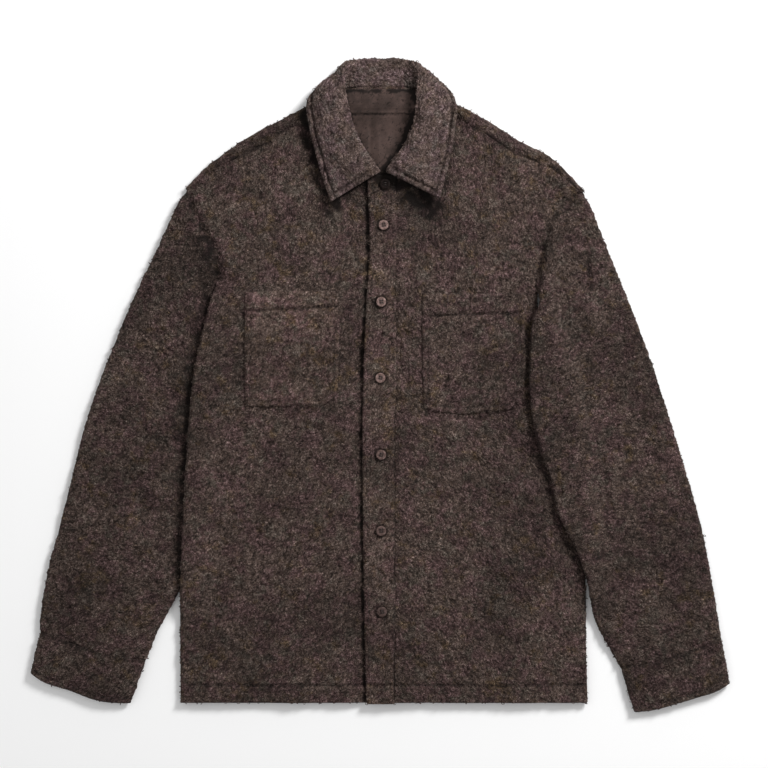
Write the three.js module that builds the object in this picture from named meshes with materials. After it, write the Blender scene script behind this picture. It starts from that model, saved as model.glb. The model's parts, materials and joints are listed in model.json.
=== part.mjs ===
// A shirt jacket in thick boucle wool, buttoned up and laid flat on its back.
// Millimetres. +X runs across the garment, +Y runs towards the collar and +Z points up.
// Left and right in the names are the wearer's, so the right front lies at -X.
import * as THREE from "three";

// Driving dimensions
const cloth = { wall: 3.3, collar: 4.4, placket: 3.8, lining: 1 };
const seamGap = 0.3;
const body = { edge: 7.8, height: 9.4, swell: 38 }; // two panels, at the sides and inside
const frontDrop = 2.4; // the under front sinks below the placket by this
const placketFold = 1.4; // the over front rises to the placket by this
const sleeve = { height: 9.4, tucked: 7.4, wrist: 8.6 };
const cuffHeight = 9.6;
const hem = { y: -396, left: -250, right: 259 };
const shoulderFold = body.height / 2;
const underlap = 24; // x of the under front's edge
const placketSeamX = 19;
const frontNeck = { right: 262, left: 263 }; // y where each front meets the neck opening
const neckOverlap = 1.4; // the fronts rise by this over the edge of the lining
const button = { radius: 6.9, thick: 2.2, bevel: 0.4, hole: 0.9, holeRing: 1.9 };
const buttons = [ // x, y
  [6, 251], [4, 200], [1, 104], [0, 9], [1, -87], [1, -182], [2, -283],
];
const colours = {
  wool: 0x463b37, collar: 0x554945, lining: 0x4a3d39, button: 0x60524f,
};

// The plan: each curve is a short run of [x, y] points
const plan = {
  sideRight: [ // the wearer's right side edge, from the hem up to the armhole
    [-250, -396], [-250, -256], [-247, -181], [-243, -106], [-238, -32], [-231, 26],
    [-222, 65], [-212, 106], [-203, 134],
  ],
  armholeRight: [[-203, 134], [-204, 156], [-209, 176], [-222, 195], [-232, 215], [-242, 248]],
  sideLeft: [
    [259, -396], [257, -319], [257, -269], [254, -206], [249, -131], [241, -56],
    [226, 10], [210, 62], [197, 96], [196, 125],
  ],
  armholeLeft: [[196, 125], [199, 146], [204, 171], [211, 196], [222, 221], [254, 244]],
  shoulderRight: [[-242, 248], [-214, 276], [-172, 306], [-117, 336], [-69, 360]],
  neckBack: [[-69, 360], [-44, 371], [2, 374], [44, 371], [76, 359]],
  shoulderLeft: [[76, 359], [121, 338], [181, 301], [212, 286], [254, 244]],
  neckRight: [[-66, 350], [-64, 325], [-56, 301], [-40, 281], [-18, 268], [underlap, frontNeck.right]],
  neckLeft: [
    [placketSeamX + seamGap, frontNeck.left], [30, 268], [52, 282], [66, 302], [73, 326], [74, 348],
  ],
  placketEdge: [[-17, 261], [-14, 169], [-18, 106], [-22, 6], [-23, -56], [-21, -269], [-18, -397]],
};
// How far the back wraps forward over the shoulder fold, at shares of the shoulder's length
const wrap = [ // share from the armhole to the neck, width
  [0, 5.5], [0.12, 9], [0.3, 15], [0.5, 18], [0.75, 16], [0.9, 11], [1, 8],
];

const sleeves = {
  sleeve_right: {
    armhole: plan.armholeRight,
    outer: [
      [-242, 248], [-252, 231], [-279, 171], [-301, 126], [-327, 66], [-351, 6], [-371, -54],
      [-386, -114], [-401, -174], [-417, -234], [-426, -294], [-426, -310],
    ],
    inner: [
      [-203, 134], [-210, 112], [-212, 92], [-210, 62], [-216, 26], [-226, -32], [-229, -106],
      [-234, -181], [-246, -238], [-251, -256], [-263, -279], [-279, -309], [-294, -345],
    ],
    cuffSeam: [[-294, -345.5], [-336, -341], [-368, -331], [-400, -320], [-426, -310]],
    cuffHem: [[-312, -397], [-342, -395], [-361, -391], [-387, -381], [-419, -371], [-438, -359]],
    over: false,
  },
  sleeve_left: {
    armhole: plan.armholeLeft,
    outer: [
      [254, 244], [263, 224], [278, 186], [302, 126], [326, 66], [347, 6], [366, -54],
      [384, -114], [401, -174], [413, -234], [423, -294], [427, -319],
    ],
    inner: [
      [196, 125], [199, 109], [199, 99], [191, 82], [187, 50], [186, -4], [191, -50],
      [201, -88], [211, -112], [221, -159], [242, -201], [256, -240], [262, -269],
      [269, -296], [281, -319], [301, -354],
    ],
    cuffSeam: [[301, -354.5], [334, -350], [364, -342], [397, -331], [427, -319.5]],
    cuffHem: [[317, -408], [341, -405], [364, -399], [397, -389], [419, -382], [437, -372]],
    over: true,
  },
};

// The largest soft hollows: from, to, half width and depth
const hollows = [
  { from: [-251, 169], to: [-276, 44], width: 20, depth: 1.2 },
  { from: [-276, 44], to: [-296, -81], width: 20, depth: 1.6 },
  { from: [-296, -81], to: [-301, -194], width: 20, depth: 1.2 },
  { from: [274, 106], to: [322, -81], width: 22, depth: 1.4 },
  { from: [322, -81], to: [318, -219], width: 22, depth: 1.3 },
  { from: [330, -365], to: [420, -343], width: 9, depth: 1.2 },
  { from: [60, -300], to: [68, -372], width: 17, depth: 1 },
  { from: [-206, -330], to: [-190, -382], width: 16, depth: 1 },
  { from: [150, -50], to: [185, -130], width: 22, depth: 1 },
];

const pockets = {
  pocket_right: { left: -170, right: -51, top: 117, bottom: -26, sag: 1, clip: 14 },
  pocket_left: { left: 52, right: 179, top: 115, bottom: -31, sag: 4, clip: 9 },
};

// The collar from the centre back to the front end, one row for a section.
// fold: where it turns over. neck and edge: its two long edges. turn: how far the fold has
// rolled from lying behind the neck (0) to lying on the front (180). half: half the bend.
const collarRight = [
  { fold: [2, 408, 5.6], neck: [2, 374.8, 9.9], edge: [2, 360, 0.5], turn: 0, half: 88 },
  { fold: [-30, 408, 6.6], neck: [-26, 375, 9.9], edge: [-34, 361, 0.5], turn: 6, half: 86 },
  { fold: [-43, 402, 12], neck: [-38, 373.6, 10.6], edge: [-62, 384, 2], turn: 45, half: 62 },
  { fold: [-48, 388, 20], neck: [-47, 371.4, 11], edge: [-84, 369, 9], turn: 80, half: 56 },
  { fold: [-46, 374, 25], neck: [-56, 366, 17.5], edge: [-91, 354, 21], turn: 120, half: 62 },
  { fold: [-38, 342, 24], neck: [-63, 336, 16.6], edge: [-88, 324, 21.5], turn: 168, half: 80 },
  { fold: [-28, 311, 20.5], neck: [-53, 300, 11.6], edge: [-79, 287, 20], turn: 176, half: 84 },
  { fold: [-15, 289, 18.5], neck: [-38, 280, 10.4], edge: [-70, 256, 20], turn: 178, half: 84 },
  { fold: [-0.6, 268, 19], neck: [-22, 268, 12.4], edge: [-61, 231, 20], turn: 178, half: 82 },
];
const collarLeft = [
  { fold: [30, 408, 6.6], neck: [30, 375, 9.9], edge: [38, 361, 0.5], turn: 6, half: 86 },
  { fold: [45, 403, 12], neck: [40, 373.6, 10.6], edge: [64, 385, 2], turn: 45, half: 62 },
  { fold: [50, 389, 20], neck: [48, 371.4, 11], edge: [87, 368, 9], turn: 80, half: 56 },
  { fold: [47, 374, 25], neck: [60, 365, 17.5], edge: [94, 350, 21], turn: 120, half: 62 },
  { fold: [43, 342, 24], neck: [69, 336, 16.6], edge: [92, 322, 21.5], turn: 168, half: 80 },
  { fold: [37, 317, 20.5], neck: [62, 304, 11.6], edge: [86, 285, 20], turn: 176, half: 84 },
  { fold: [23, 291, 18.5], neck: [47, 282, 10.4], edge: [79, 259, 20], turn: 178, half: 84 },
  { fold: [6.4, 269, 19], neck: [28, 269, 15], edge: [72, 235, 20], turn: 178, half: 82 },
];
// The smooth cloth that shows in the neck opening
const linings = {
  neck_facing: { left: -43, right: 45, top: 369, bottom: 341.3 },
  back_lining: { left: -43, right: 45, top: 341, bottom: 262 },
};
const collarTuck = { reach: 94, top: 352, fade: 40, lift: 5.6 }; // the collar's fall under the back

const { lerp, smoothstep } = THREE.MathUtils;

// A smooth curve through [x, y] points, read by its share of length
function curveThrough(points) {
  const nodes = points.map(([x, y]) => new THREE.Vector3(x, y, 0));
  const curve = new THREE.CatmullRomCurve3(nodes, false, "centripetal");
  return (share) => curve.getPointAt(THREE.MathUtils.clamp(share, 0, 1));
}

function curveLength(points) {
  return new THREE.CatmullRomCurve3(points.map(([x, y]) => new THREE.Vector3(x, y, 0))).getLength();
}

// Several curves end to end, each given its own share of the whole
function chain(curves, shares) {
  return (at) => {
    let start = 0;
    for (let k = 0; k < curves.length; k++) {
      const end = start + shares[k];
      if (at <= end || k === curves.length - 1) return curves[k]((at - start) / shares[k]);
      start = end;
    }
  };
}

function tableValue(table, at) {
  const k = Math.max(1, table.findIndex(([share]) => share >= at));
  const [a, b] = [table[k - 1], table[k]];
  return lerp(a[1], b[1], (at - a[0]) / (b[0] - a[0]));
}

// A patch between four boundary curves
function patch(left, right, bottom, top) {
  const mix = (a, b, t) => a.clone().lerp(b, t);
  return (u, v) => {
    const across = mix(left(v), right(v), u);
    const up = mix(bottom(u), top(u), v);
    const corners = mix(mix(left(0), right(0), u), mix(left(1), right(1), u), v);
    return across.add(up).sub(corners);
  };
}

function closedGeometry(points, faces) {
  const geometry = new THREE.BufferGeometry();
  const numbers = points.flatMap((p) => p.toArray());
  geometry.setAttribute("position", new THREE.Float32BufferAttribute(numbers, 3));
  let volume = 0;
  for (const [a, b, c] of faces) {
    volume += points[a].dot(points[b].clone().cross(points[c]));
  }
  geometry.setIndex(faces.flatMap(([a, b, c]) => (volume > 0 ? [a, b, c] : [a, c, b])));
  return geometry;
}

const quad = (a, b, c, d) => [[a, b, c], [a, c, d]];

// A closed wall between an outer and an inner grid, both [row][column]
function wallBetween(outer, inner) {
  const rows = outer.length;
  const columns = outer[0].length;
  const points = [...outer.flat(), ...inner.flat()];
  const at = (row, column, side) => side * rows * columns + row * columns + column;
  const faces = [];
  for (let r = 0; r < rows - 1; r++) {
    for (let c = 0; c < columns - 1; c++) {
      faces.push(...quad(at(r, c, 0), at(r, c + 1, 0), at(r + 1, c + 1, 0), at(r + 1, c, 0)));
      faces.push(...quad(at(r + 1, c, 1), at(r + 1, c + 1, 1), at(r, c + 1, 1), at(r, c, 1)));
    }
    faces.push(...quad(at(r, 0, 1), at(r, 0, 0), at(r + 1, 0, 0), at(r + 1, 0, 1)));
    const last = columns - 1;
    faces.push(...quad(at(r, last, 0), at(r, last, 1), at(r + 1, last, 1), at(r + 1, last, 0)));
  }
  for (let c = 0; c < columns - 1; c++) {
    faces.push(...quad(at(0, c, 1), at(0, c + 1, 1), at(0, c + 1, 0), at(0, c, 0)));
    const last = rows - 1;
    faces.push(...quad(at(last, c, 0), at(last, c + 1, 0), at(last, c + 1, 1), at(last, c, 1)));
  }
  return closedGeometry(points, faces);
}

// The grid moved by the wall along its own normals. square() straightens a normal at an edge.
function offsetGrid(grid, distance, square) {
  const rows = grid.length;
  const columns = grid[0].length;
  return grid.map((line, r) => line.map((point, c) => {
    const along = grid[r][Math.min(c + 1, columns - 1)].clone().sub(grid[r][Math.max(c - 1, 0)]);
    const up = grid[Math.min(r + 1, rows - 1)][c].clone().sub(grid[Math.max(r - 1, 0)][c]);
    const normal = along.cross(up).normalize();
    if (square) square(normal, r, c, rows, columns);
    return point.clone().addScaledVector(normal.normalize(), distance);
  }));
}

// A normal turned into the upright plane that holds a horizontal direction
function keepAlong(normal, direction) {
  const across = new THREE.Vector3(-direction.y, direction.x, 0).normalize();
  return normal.addScaledVector(across, -normal.dot(across));
}

function hollowDepth(x, y) {
  const spot = new THREE.Vector3(x, y, 0);
  const nearest = new THREE.Vector3();
  let depth = 0;
  for (const { from, to, width, depth: deepest } of hollows) {
    const line = new THREE.Line3(new THREE.Vector3(...from, 0), new THREE.Vector3(...to, 0));
    const away = line.closestPointToPoint(spot, true, nearest).distanceTo(spot);
    depth = Math.max(depth, deepest * Math.exp(-((away / width) ** 2)));
  }
  return depth;
}

// x of a side edge at a height y, from its own points
function edgeX(points, y) {
  const k = Math.max(1, points.findIndex((p) => p[1] >= y));
  const [a, b] = [points[k - 1], points[k]];
  return lerp(a[0], b[0], THREE.MathUtils.clamp((y - a[1]) / (b[1] - a[1]), 0, 1));
}

// How high the whole body lies above the surface: over the collar's fall and over the right sleeve
function bodyLift(x, y) {
  const { reach, top, fade, lift } = collarTuck;
  const neck = lift * smoothstep(y, top - fade, top) * smoothstep(reach + fade - Math.abs(x - 2), 0, fade);
  const inside = x - edgeX(plan.sideRight, y);
  const beside = smoothstep(y, -296, -250) * (1 - smoothstep(y, 107, 131));
  const sleeveLift = (sleeve.tucked + 0.9) * beside * (1 - smoothstep(inside, 15, 48));
  return neck + sleeveLift;
}

// The share of its full height that a side edge has at a distance from that edge
function sideRise(distance, y, armholeY) {
  const rolled = 1 - smoothstep(y, armholeY - 22, armholeY - 2);
  const radius = body.edge / 2;
  const rise = distance >= radius ? 1 : Math.sqrt(1 - (1 - distance / radius) ** 2);
  return { rolled, rise: 1 - rolled * (1 - rise) };
}

const armholeY = { right: 134, left: 125 };

function bodyHeights(x, y, fromRight, fromLeft) {
  const right = sideRise(fromRight, y, armholeY.right);
  const left = sideRise(fromLeft, y, armholeY.left);
  const near = Math.min(fromRight, fromLeft);
  const rolled = fromRight < fromLeft ? right.rolled : left.rolled;
  const rise = Math.min(right.rise, left.rise);
  const flat = body.height - rolled * (body.height - body.edge) * (1 - smoothstep(near, 4, body.swell));
  const middle = body.edge / 2;
  const lift = bodyLift(x, y);
  return {
    rolled,
    under: lift + (1 - rise) * (middle - seamGap / 2),
    top: lift + middle + seamGap / 2 + (flat - middle - seamGap / 2) * rise,
  };
}

// Distances of the grid's columns from a rolled side edge
const rollColumns = [0, 0.134, 0.5, 1].map((share) => (share * body.edge) / 2).concat([12, 26, 42]);
const plainColumns = [0, 14, 34];

function columnShares(width, first, last, inner) {
  const start = first.map((d) => d / width);
  const end = last.map((d) => 1 - d / width).reverse();
  const [a, b] = [start[start.length - 1], end[0]];
  const middle = Array.from({ length: inner }, (_, k) => lerp(a, b, (k + 1) / (inner + 1)));
  return [...start, ...middle, ...end];
}

const bodyRows = [
  0, 0.03, 0.09, 0.17, 0.26, 0.35, 0.44, 0.53, 0.61, 0.68, 0.73, 0.77, 0.8,
  0.83, 0.86, 0.89, 0.92, 0.95, 0.975, 1,
];
const sideShare = 0.8; // of a side curve, up to the armhole
const hemLine = (fromX, toX) => (share) => new THREE.Vector3(lerp(fromX, toX, share), hem.y, 0);

// A side of the body from the hem to short of the shoulder end
function sideEdge(sidePoints, armholePoints, short) {
  const armhole = curveThrough(armholePoints);
  const reached = 1 - short / curveLength(armholePoints);
  const upper = (share) => armhole(share * reached);
  return chain([curveThrough(sidePoints), upper], [sideShare, 1 - sideShare]);
}
const rightEdge = (short) => sideEdge(plan.sideRight, plan.armholeRight, short);
const leftEdge = (short) => sideEdge(plan.sideLeft, plan.armholeLeft, short);

// The shoulder fold and the seam that the back reaches when it wraps forward over it
const shoulders = { right: curveThrough(plan.shoulderRight), left: curveThrough(plan.shoulderLeft) };
function foldInward(side, share) {
  const armhole = curveThrough(side === "right" ? plan.armholeRight : plan.armholeLeft);
  const alongArmhole = armhole(0.96).sub(armhole(1)).normalize();
  const lean = 0.55 - 0.35 * smoothstep(share, 0.85, 1);
  const square = new THREE.Vector3(side === "right" ? lean : -lean, -1, 0).normalize();
  return alongArmhole.lerp(square, smoothstep(share, 0, 0.16)).normalize();
}
function shoulderSeam(side, share) {
  const onFold = shoulders[side](side === "right" ? share : 1 - share);
  return onFold.addScaledVector(foldInward(side, share), tableValue(wrap, share));
}
const curvedGap = 1.2; // a seam that both pieces reach on their own flat facets
const seamReach = wrap[0][1] + curvedGap; // from the shoulder end to the front's top corner
const toFrontTop = (side, share) => (
  shoulderSeam(side, share).addScaledVector(foldInward(side, share), curvedGap)
);

const wool = new THREE.MeshStandardMaterial({ color: colours.wool, roughness: 0.95, metalness: 0 });
const woolCollar = new THREE.MeshStandardMaterial({ color: colours.collar, roughness: 0.95, metalness: 0 });
const liningCloth = new THREE.MeshStandardMaterial({ color: colours.lining, roughness: 0.6, metalness: 0 });
const buttonResin = new THREE.MeshStandardMaterial({ color: colours.button, roughness: 0.4, metalness: 0 });

function piece(name, geometry, material) {
  const mesh = new THREE.Mesh(geometry, material);
  mesh.name = name;
  return mesh;
}

// The back lies flat, curls up at the side seams and wraps forward over both shoulders
function makeBack() {
  const shares = [0.36, 0.27, 0.37]; // right shoulder, neck, left shoulder
  const neck = curveThrough(plan.neckBack);
  const foldAt = chain([shoulders.right, neck, shoulders.left], shares);
  const place = (u) => {
    const onRight = u <= shares[0];
    const onLeft = u >= 1 - shares[2];
    const side = u < 0.5 ? "right" : "left";
    const share = onRight ? u / shares[0] : onLeft ? (1 - u) / shares[2] : 1;
    const fromCorner = Math.min(u - shares[0], 1 - shares[2] - u);
    const wrapped = onRight || onLeft ? 1 : 1 - smoothstep(fromCorner, 0, 0.045);
    const inward = onRight || onLeft ? foldInward(side, share)
      : foldInward(side, 1).lerp(new THREE.Vector3(0, -1, 0), smoothstep(fromCorner, 0, 0.06));
    const width = wrapped * (onRight || onLeft ? tableValue(wrap, share) : 8);
    return { fold: foldAt(u), inward, wrapped, width };
  };
  const topEdge = (u) => {
    const { fold, inward } = place(u);
    return fold.addScaledVector(inward, shoulderFold);
  };
  const [rightSide, leftSide] = [rightEdge(shoulderFold), leftEdge(shoulderFold)];
  const flat = patch(rightSide, leftSide, hemLine(hem.left, hem.right), topEdge);
  const columns = (width) => [
    ...columnShares(width, rollColumns, [width * (1 - shares[0])], 4),
    0.375, 0.4, 0.44, 0.5, 0.55, 0.59, 0.615,
    ...columnShares(width, [width * (1 - shares[2])], rollColumns, 4),
  ];
  const grid = bodyRows.map((v) => {
    const width = leftSide(v).distanceTo(rightSide(v));
    return columns(width).map((u) => {
      const point = flat(u, v);
      const heights = bodyHeights(point.x, point.y, u * width, (1 - u) * width);
      return point.setZ(heights.under);
    });
  });
  const turns = [-60, -30, 0, 30, 60, 90].map(THREE.MathUtils.degToRad);
  const width = leftSide(1).distanceTo(rightSide(1));
  turns.forEach((turn, k) => {
    grid.push(columns(width).map((u) => {
      const { fold, inward, wrapped } = place(u);
      const lift = bodyLift(fold.x, fold.y);
      const across = shoulderFold * lerp((k + 1) / turns.length, Math.cos(turn), wrapped);
      const point = fold.addScaledVector(inward, shoulderFold - across);
      return point.setZ(lift + wrapped * shoulderFold * (1 + Math.sin(turn)));
    }));
  });
  grid.push(columns(width).map((u) => {
    const { fold, inward, wrapped, width: reach } = place(u);
    const lift = bodyLift(fold.x, fold.y);
    const far = wrapped > 0 ? Math.max(reach, shoulderFold * wrapped + 0.4) : -0.6;
    const point = fold.addScaledVector(inward, far);
    return point.setZ(lift + wrapped * body.height);
  }));
  const inner = offsetGrid(grid, cloth.wall, (normal, r, c, rows, count) => {
    const edge = c === 0 || c === count - 1;
    const { x, y, z } = grid[r][c];
    if (edge && r < bodyRows.length - 1 && z > bodyLift(x, y) + 3) normal.set(c === 0 ? 1 : -1, 0, 0);
    else if (edge && r < bodyRows.length - 1) normal.x = 0;
    else if (edge) keepAlong(normal, place(c === 0 ? 0 : 1).inward);
    if (r === 0) normal.y = 0;
    if (r === rows - 1) normal.set(0, 0, Math.sign(normal.z) || 1);
  });
  return wallBetween(grid, inner);
}

// A front panel: top surface from its plan, wall below it
function makeFront({ outline, columns, fromRight, fromLeft, extra }) {
  const flat = patch(outline.left, outline.right, outline.bottom, outline.top);
  const grid = bodyRows.map((v) => {
    const width = outline.left(v).distanceTo(outline.right(v));
    return columns(width).map((u) => {
      const point = flat(u, v);
      const heights = bodyHeights(point.x, point.y, fromRight(u * width), fromLeft((1 - u) * width));
      return point.setZ(heights.top + extra(point.x, point.y) - hollowDepth(point.x, point.y));
    });
  });
  const inner = offsetGrid(grid, -cloth.wall, (normal, r, c, rows, count) => {
    const rightSide = c === 0 && fromRight(0) === 0;
    const leftSide = c === count - 1 && fromLeft(0) === 0;
    const low = grid[r][c].z < bodyLift(grid[r][c].x, grid[r][c].y) + body.edge - 1.5;
    if ((rightSide || leftSide) && low) normal.set(rightSide ? -1 : 1, 0, 0);
    else if (c === 0 || c === count - 1) normal.x = 0;
    if (r === 0 || r === rows - 1) normal.y = 0;
  });
  return wallBetween(grid, inner);
}

const farAway = () => 1000;

// The neck's share of a front's top edge; the rest is the shoulder seam
const neckShare = { right: 0.22, left: 0.15 };

// The closure climbs a little towards the neck, over the edge of the lining
const neckRise = (y) => neckOverlap * smoothstep(y, 215, 246);

function makeFrontRight() {
  const neck = curveThrough(plan.neckRight);
  const seam = (share) => toFrontTop("right", share);
  const edge = curveThrough([[underlap, hem.y], [underlap, 0], [underlap, frontNeck.right]]);
  return makeFront({
    outline: {
      left: rightEdge(seamReach),
      right: edge,
      bottom: hemLine(hem.left, underlap),
      top: chain([seam, neck], [1 - neckShare.right, neckShare.right]),
    },
    columns: (width) => columnShares(width, rollColumns, [0, 14, 34, 44, 56, 80], 4),
    fromRight: (d) => d,
    fromLeft: farAway,
    extra: (x, y) => (neckRise(y) - frontDrop) * smoothstep(x, -62, -28),
  });
}

function makeFrontLeft() {
  const neck = curveThrough(plan.neckLeft);
  const seam = (share) => toFrontTop("left", 1 - share);
  const x = placketSeamX + seamGap;
  return makeFront({
    outline: {
      left: curveThrough([[x, hem.y], [x, 0], [x, frontNeck.left]]),
      right: leftEdge(seamReach),
      bottom: hemLine(x, hem.right),
      top: chain([neck, seam], [neckShare.left, 1 - neckShare.left]),
    },
    columns: (width) => columnShares(width, [0, 7, 20, 36], rollColumns, 5),
    fromRight: farAway,
    fromLeft: (d) => d,
    extra: (px, py) => (placketFold + neckRise(py)) * (1 - smoothstep(px, 26, 58)),
  });
}

// The height of a piece's upper surface at a place
function surfaceOf(panel) {
  const caster = new THREE.Raycaster();
  const down = new THREE.Vector3(0, 0, -1);
  return (x, y) => {
    caster.set(new THREE.Vector3(x, y, 100), down);
    return caster.intersectObject(panel)[0].point.z;
  };
}

// The folded band down the wearer's left front edge
function makePlacket(underFront) {
  const surface = surfaceOf(underFront);
  const edge = curveThrough(plan.placketEdge);
  const across = [0, 0.02, 0.08, 0.5, 0.97, 1];
  const round = [0.5, 0.85, 1, 1, 1, 0.9];
  const outer = [];
  const inner = [];
  const rows = 22;
  for (let k = 0; k <= rows; k++) {
    const start = edge(1 - k / rows);
    const rest = surface(0, Math.max(start.y, hem.y + 0.01)) + 2 * seamGap;
    const at = (s, z) => new THREE.Vector3(lerp(start.x, placketSeamX, s), start.y, z);
    outer.push(across.map((s, c) => at(s, rest + cloth.placket * round[c])));
    inner.push(across.map((s) => at(s, rest)));
  }
  return wallBetween(outer, inner);
}

// The points round a flattened tube: two bent ends joined by a flat top and a flat underside
const tubeLoop = (() => {
  const bends = [0, 30, 60].map(THREE.MathUtils.degToRad);
  const flats = [0, 0.1, 0.24, 0.38, 0.52, 0.66, 0.8, 0.92, 1];
  const above = [
    ...bends.map((angle) => ({ end: 0, angle })),
    ...flats.map((flat) => ({ flat, angle: Math.PI / 2 })),
    ...bends.map((angle) => ({ end: 1, angle })).reverse(),
  ];
  const below = above.slice(1, -1).reverse().map((spot) => ({ ...spot, angle: -spot.angle }));
  return [...above, ...below];
})();

// A flattened tube of cloth. path(v, s) gives its plan, from the inner (0) to the outer edge (1).
function makeTube({ stations, path, height, base, sink, wall }) {
  const ringAt = (v, inset) => {
    const width = path(v, 0).distanceTo(path(v, 1));
    const radius = height(v, 0) / 2;
    const reach = (angle) => inset + (radius - inset) * (1 - Math.cos(angle));
    return tubeLoop.map(({ end, flat, angle }) => {
      const onFlat = radius + flat * (width - 2 * radius);
      const distance = end === 0 ? reach(angle) : end === 1 ? width - reach(angle) : onFlat;
      const share = distance / width;
      const point = path(v, share);
      const half = height(v, share) / 2;
      const level = base(point.x, point.y, v) + half + (half - inset) * Math.sin(angle);
      return point.setZ(level - Math.max(0, Math.sin(angle)) * sink(point.x, point.y));
    });
  };
  return wallAround(stations.map((v) => ringAt(v, 0)), stations.map((v) => ringAt(v, wall)));
}

// A closed wall between two tubes of rings, open at both ends
function wallAround(outer, inner) {
  const rings = outer.length;
  const count = outer[0].length;
  const points = [...outer.flat(), ...inner.flat()];
  const at = (ring, k, side) => side * rings * count + ring * count + (k % count);
  const faces = [];
  for (let r = 0; r < rings - 1; r++) {
    for (let k = 0; k < count; k++) {
      faces.push(...quad(at(r, k, 0), at(r, k + 1, 0), at(r + 1, k + 1, 0), at(r + 1, k, 0)));
      faces.push(...quad(at(r + 1, k, 1), at(r + 1, k + 1, 1), at(r, k + 1, 1), at(r, k, 1)));
    }
  }
  for (let k = 0; k < count; k++) {
    faces.push(...quad(at(0, k + 1, 0), at(0, k, 0), at(0, k, 1), at(0, k + 1, 1)));
    const last = rings - 1;
    faces.push(...quad(at(last, k, 0), at(last, k + 1, 0), at(last, k + 1, 1), at(last, k, 1)));
  }
  return closedGeometry(points, faces);
}

// How high a sleeve that lies over the body's left edge is carried
function overLift(x, y, v) {
  const outside = x - edgeX(plan.sideLeft, y);
  const risen = smoothstep(v, 0, 0.045) * smoothstep(y, -300, -262);
  return (body.height + 0.9) * risen * (1 - smoothstep(outside, 3, 34));
}

function makeSleeve({ armhole, outer, inner, cuffSeam, over }) {
  const curves = [armhole, outer, inner, cuffSeam].map(curveThrough);
  const [hole, outside, inside, seam] = curves;
  const clear = new THREE.Vector3(over ? curvedGap : -curvedGap, -curvedGap / 2, 0);
  const cuffGap = new THREE.Vector3(0, 0.35, 0);
  const path = (v, s) => {
    const chord = inside(v).lerp(outside(v), s);
    const holeBow = hole(s).sub(hole(0).lerp(hole(1), s));
    const seamBow = seam(s).sub(seam(0).lerp(seam(1), s));
    chord.addScaledVector(holeBow, 1 - smoothstep(v, 0, 0.3));
    chord.addScaledVector(seamBow, smoothstep(v, 0.75, 1));
    return chord.addScaledVector(clear, 1 - smoothstep(v, 0, 0.05)).addScaledVector(cuffGap, v);
  };
  const inward = (v) => smoothstep(v, 0, 0.05) * (over ? 0.5 : 1);
  return makeTube({
    stations: [
      0, 0.02, 0.045, 0.075, 0.11, 0.16, 0.23, 0.31, 0.4, 0.49, 0.58, 0.67, 0.76, 0.85, 0.93, 1,
    ],
    path,
    wall: cloth.wall,
    height: (v, s) => {
      const full = lerp(sleeve.height, sleeve.wrist, v);
      return lerp(full, sleeve.tucked, inward(v) * (1 - smoothstep(s, 0.1, 0.4)));
    },
    base: (x, y, v) => (over ? overLift(x, y, v) : 0),
    sink: hollowDepth,
  });
}

function makeCuff({ cuffSeam, cuffHem }) {
  const top = curveThrough(cuffSeam);
  const bottom = curveThrough(cuffHem);
  return makeTube({
    stations: [0, 0.06, 0.3, 0.6, 0.9, 1],
    path: (v, s) => top(s).lerp(bottom(s), v),
    wall: cloth.wall + 0.6,
    height: (v) => cuffHeight - (v === 0 || v === 1 ? 0.8 : 0),
    base: () => 0,
    sink: hollowDepth,
  });
}

// The collar: a folded strip, from the neck seam up to the fold and down to its free edge
function makeCollar() {
  const middle = collarRight[0];
  const rows = [...collarLeft.slice().reverse(), middle, ...collarRight.slice(1)];
  const centre = collarLeft.length;
  const smooth = (key) => new THREE.CatmullRomCurve3(
    rows.map((row) => new THREE.Vector3(...row[key])), false, "centripetal",
  );
  const curves = { fold: smooth("fold"), neck: smooth("neck"), edge: smooth("edge") };
  const radius = cloth.collar + 0.6;
  const up = new THREE.Vector3(0, 0, 1);
  const grid = [];
  const last = rows.length - 1;
  const steps = last * 2;
  for (let k = 0; k <= steps; k++) {
    const t = k / steps;
    const at = t * last;
    const low = Math.min(Math.floor(at), last - 1);
    const between = (key) => lerp(rows[low][key], rows[low + 1][key], at - low);
    const onRight = at >= centre;
    const fold = curves.fold.getPoint(t);
    const travel = curves.fold.getTangent(t).setZ(0).normalize();
    if (!onRight) travel.negate();
    const across = new THREE.Vector3(travel.y, -travel.x, 0);
    if (!onRight) across.negate();
    const turn = THREE.MathUtils.degToRad(between("turn"));
    const half = THREE.MathUtils.degToRad(between("half"));
    const out = across.clone().multiplyScalar(Math.cos(turn)).addScaledVector(up, Math.sin(turn));
    const side = across.clone().multiplyScalar(Math.sin(turn)).addScaledVector(up, -Math.cos(turn));
    const centrePoint = fold.clone().addScaledVector(out, -radius);
    const bend = (angle) => centrePoint.clone()
      .addScaledVector(out, radius * Math.cos(angle)).addScaledVector(side, radius * Math.sin(angle));
    const neck = curves.neck.getPoint(t);
    const edge = curves.edge.getPoint(t);
    const turned = [-1, -0.6, -0.2, 0.2, 0.6, 1].map((share) => bend(share * half));
    grid.push([
      neck, neck.clone().lerp(turned[0], 0.55), ...turned,
      turned[5].clone().lerp(edge, 0.35), turned[5].clone().lerp(edge, 0.7), edge,
    ]);
  }
  const inner = offsetGrid(grid, -cloth.collar);
  return wallBetween(grid, inner);
}

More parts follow.
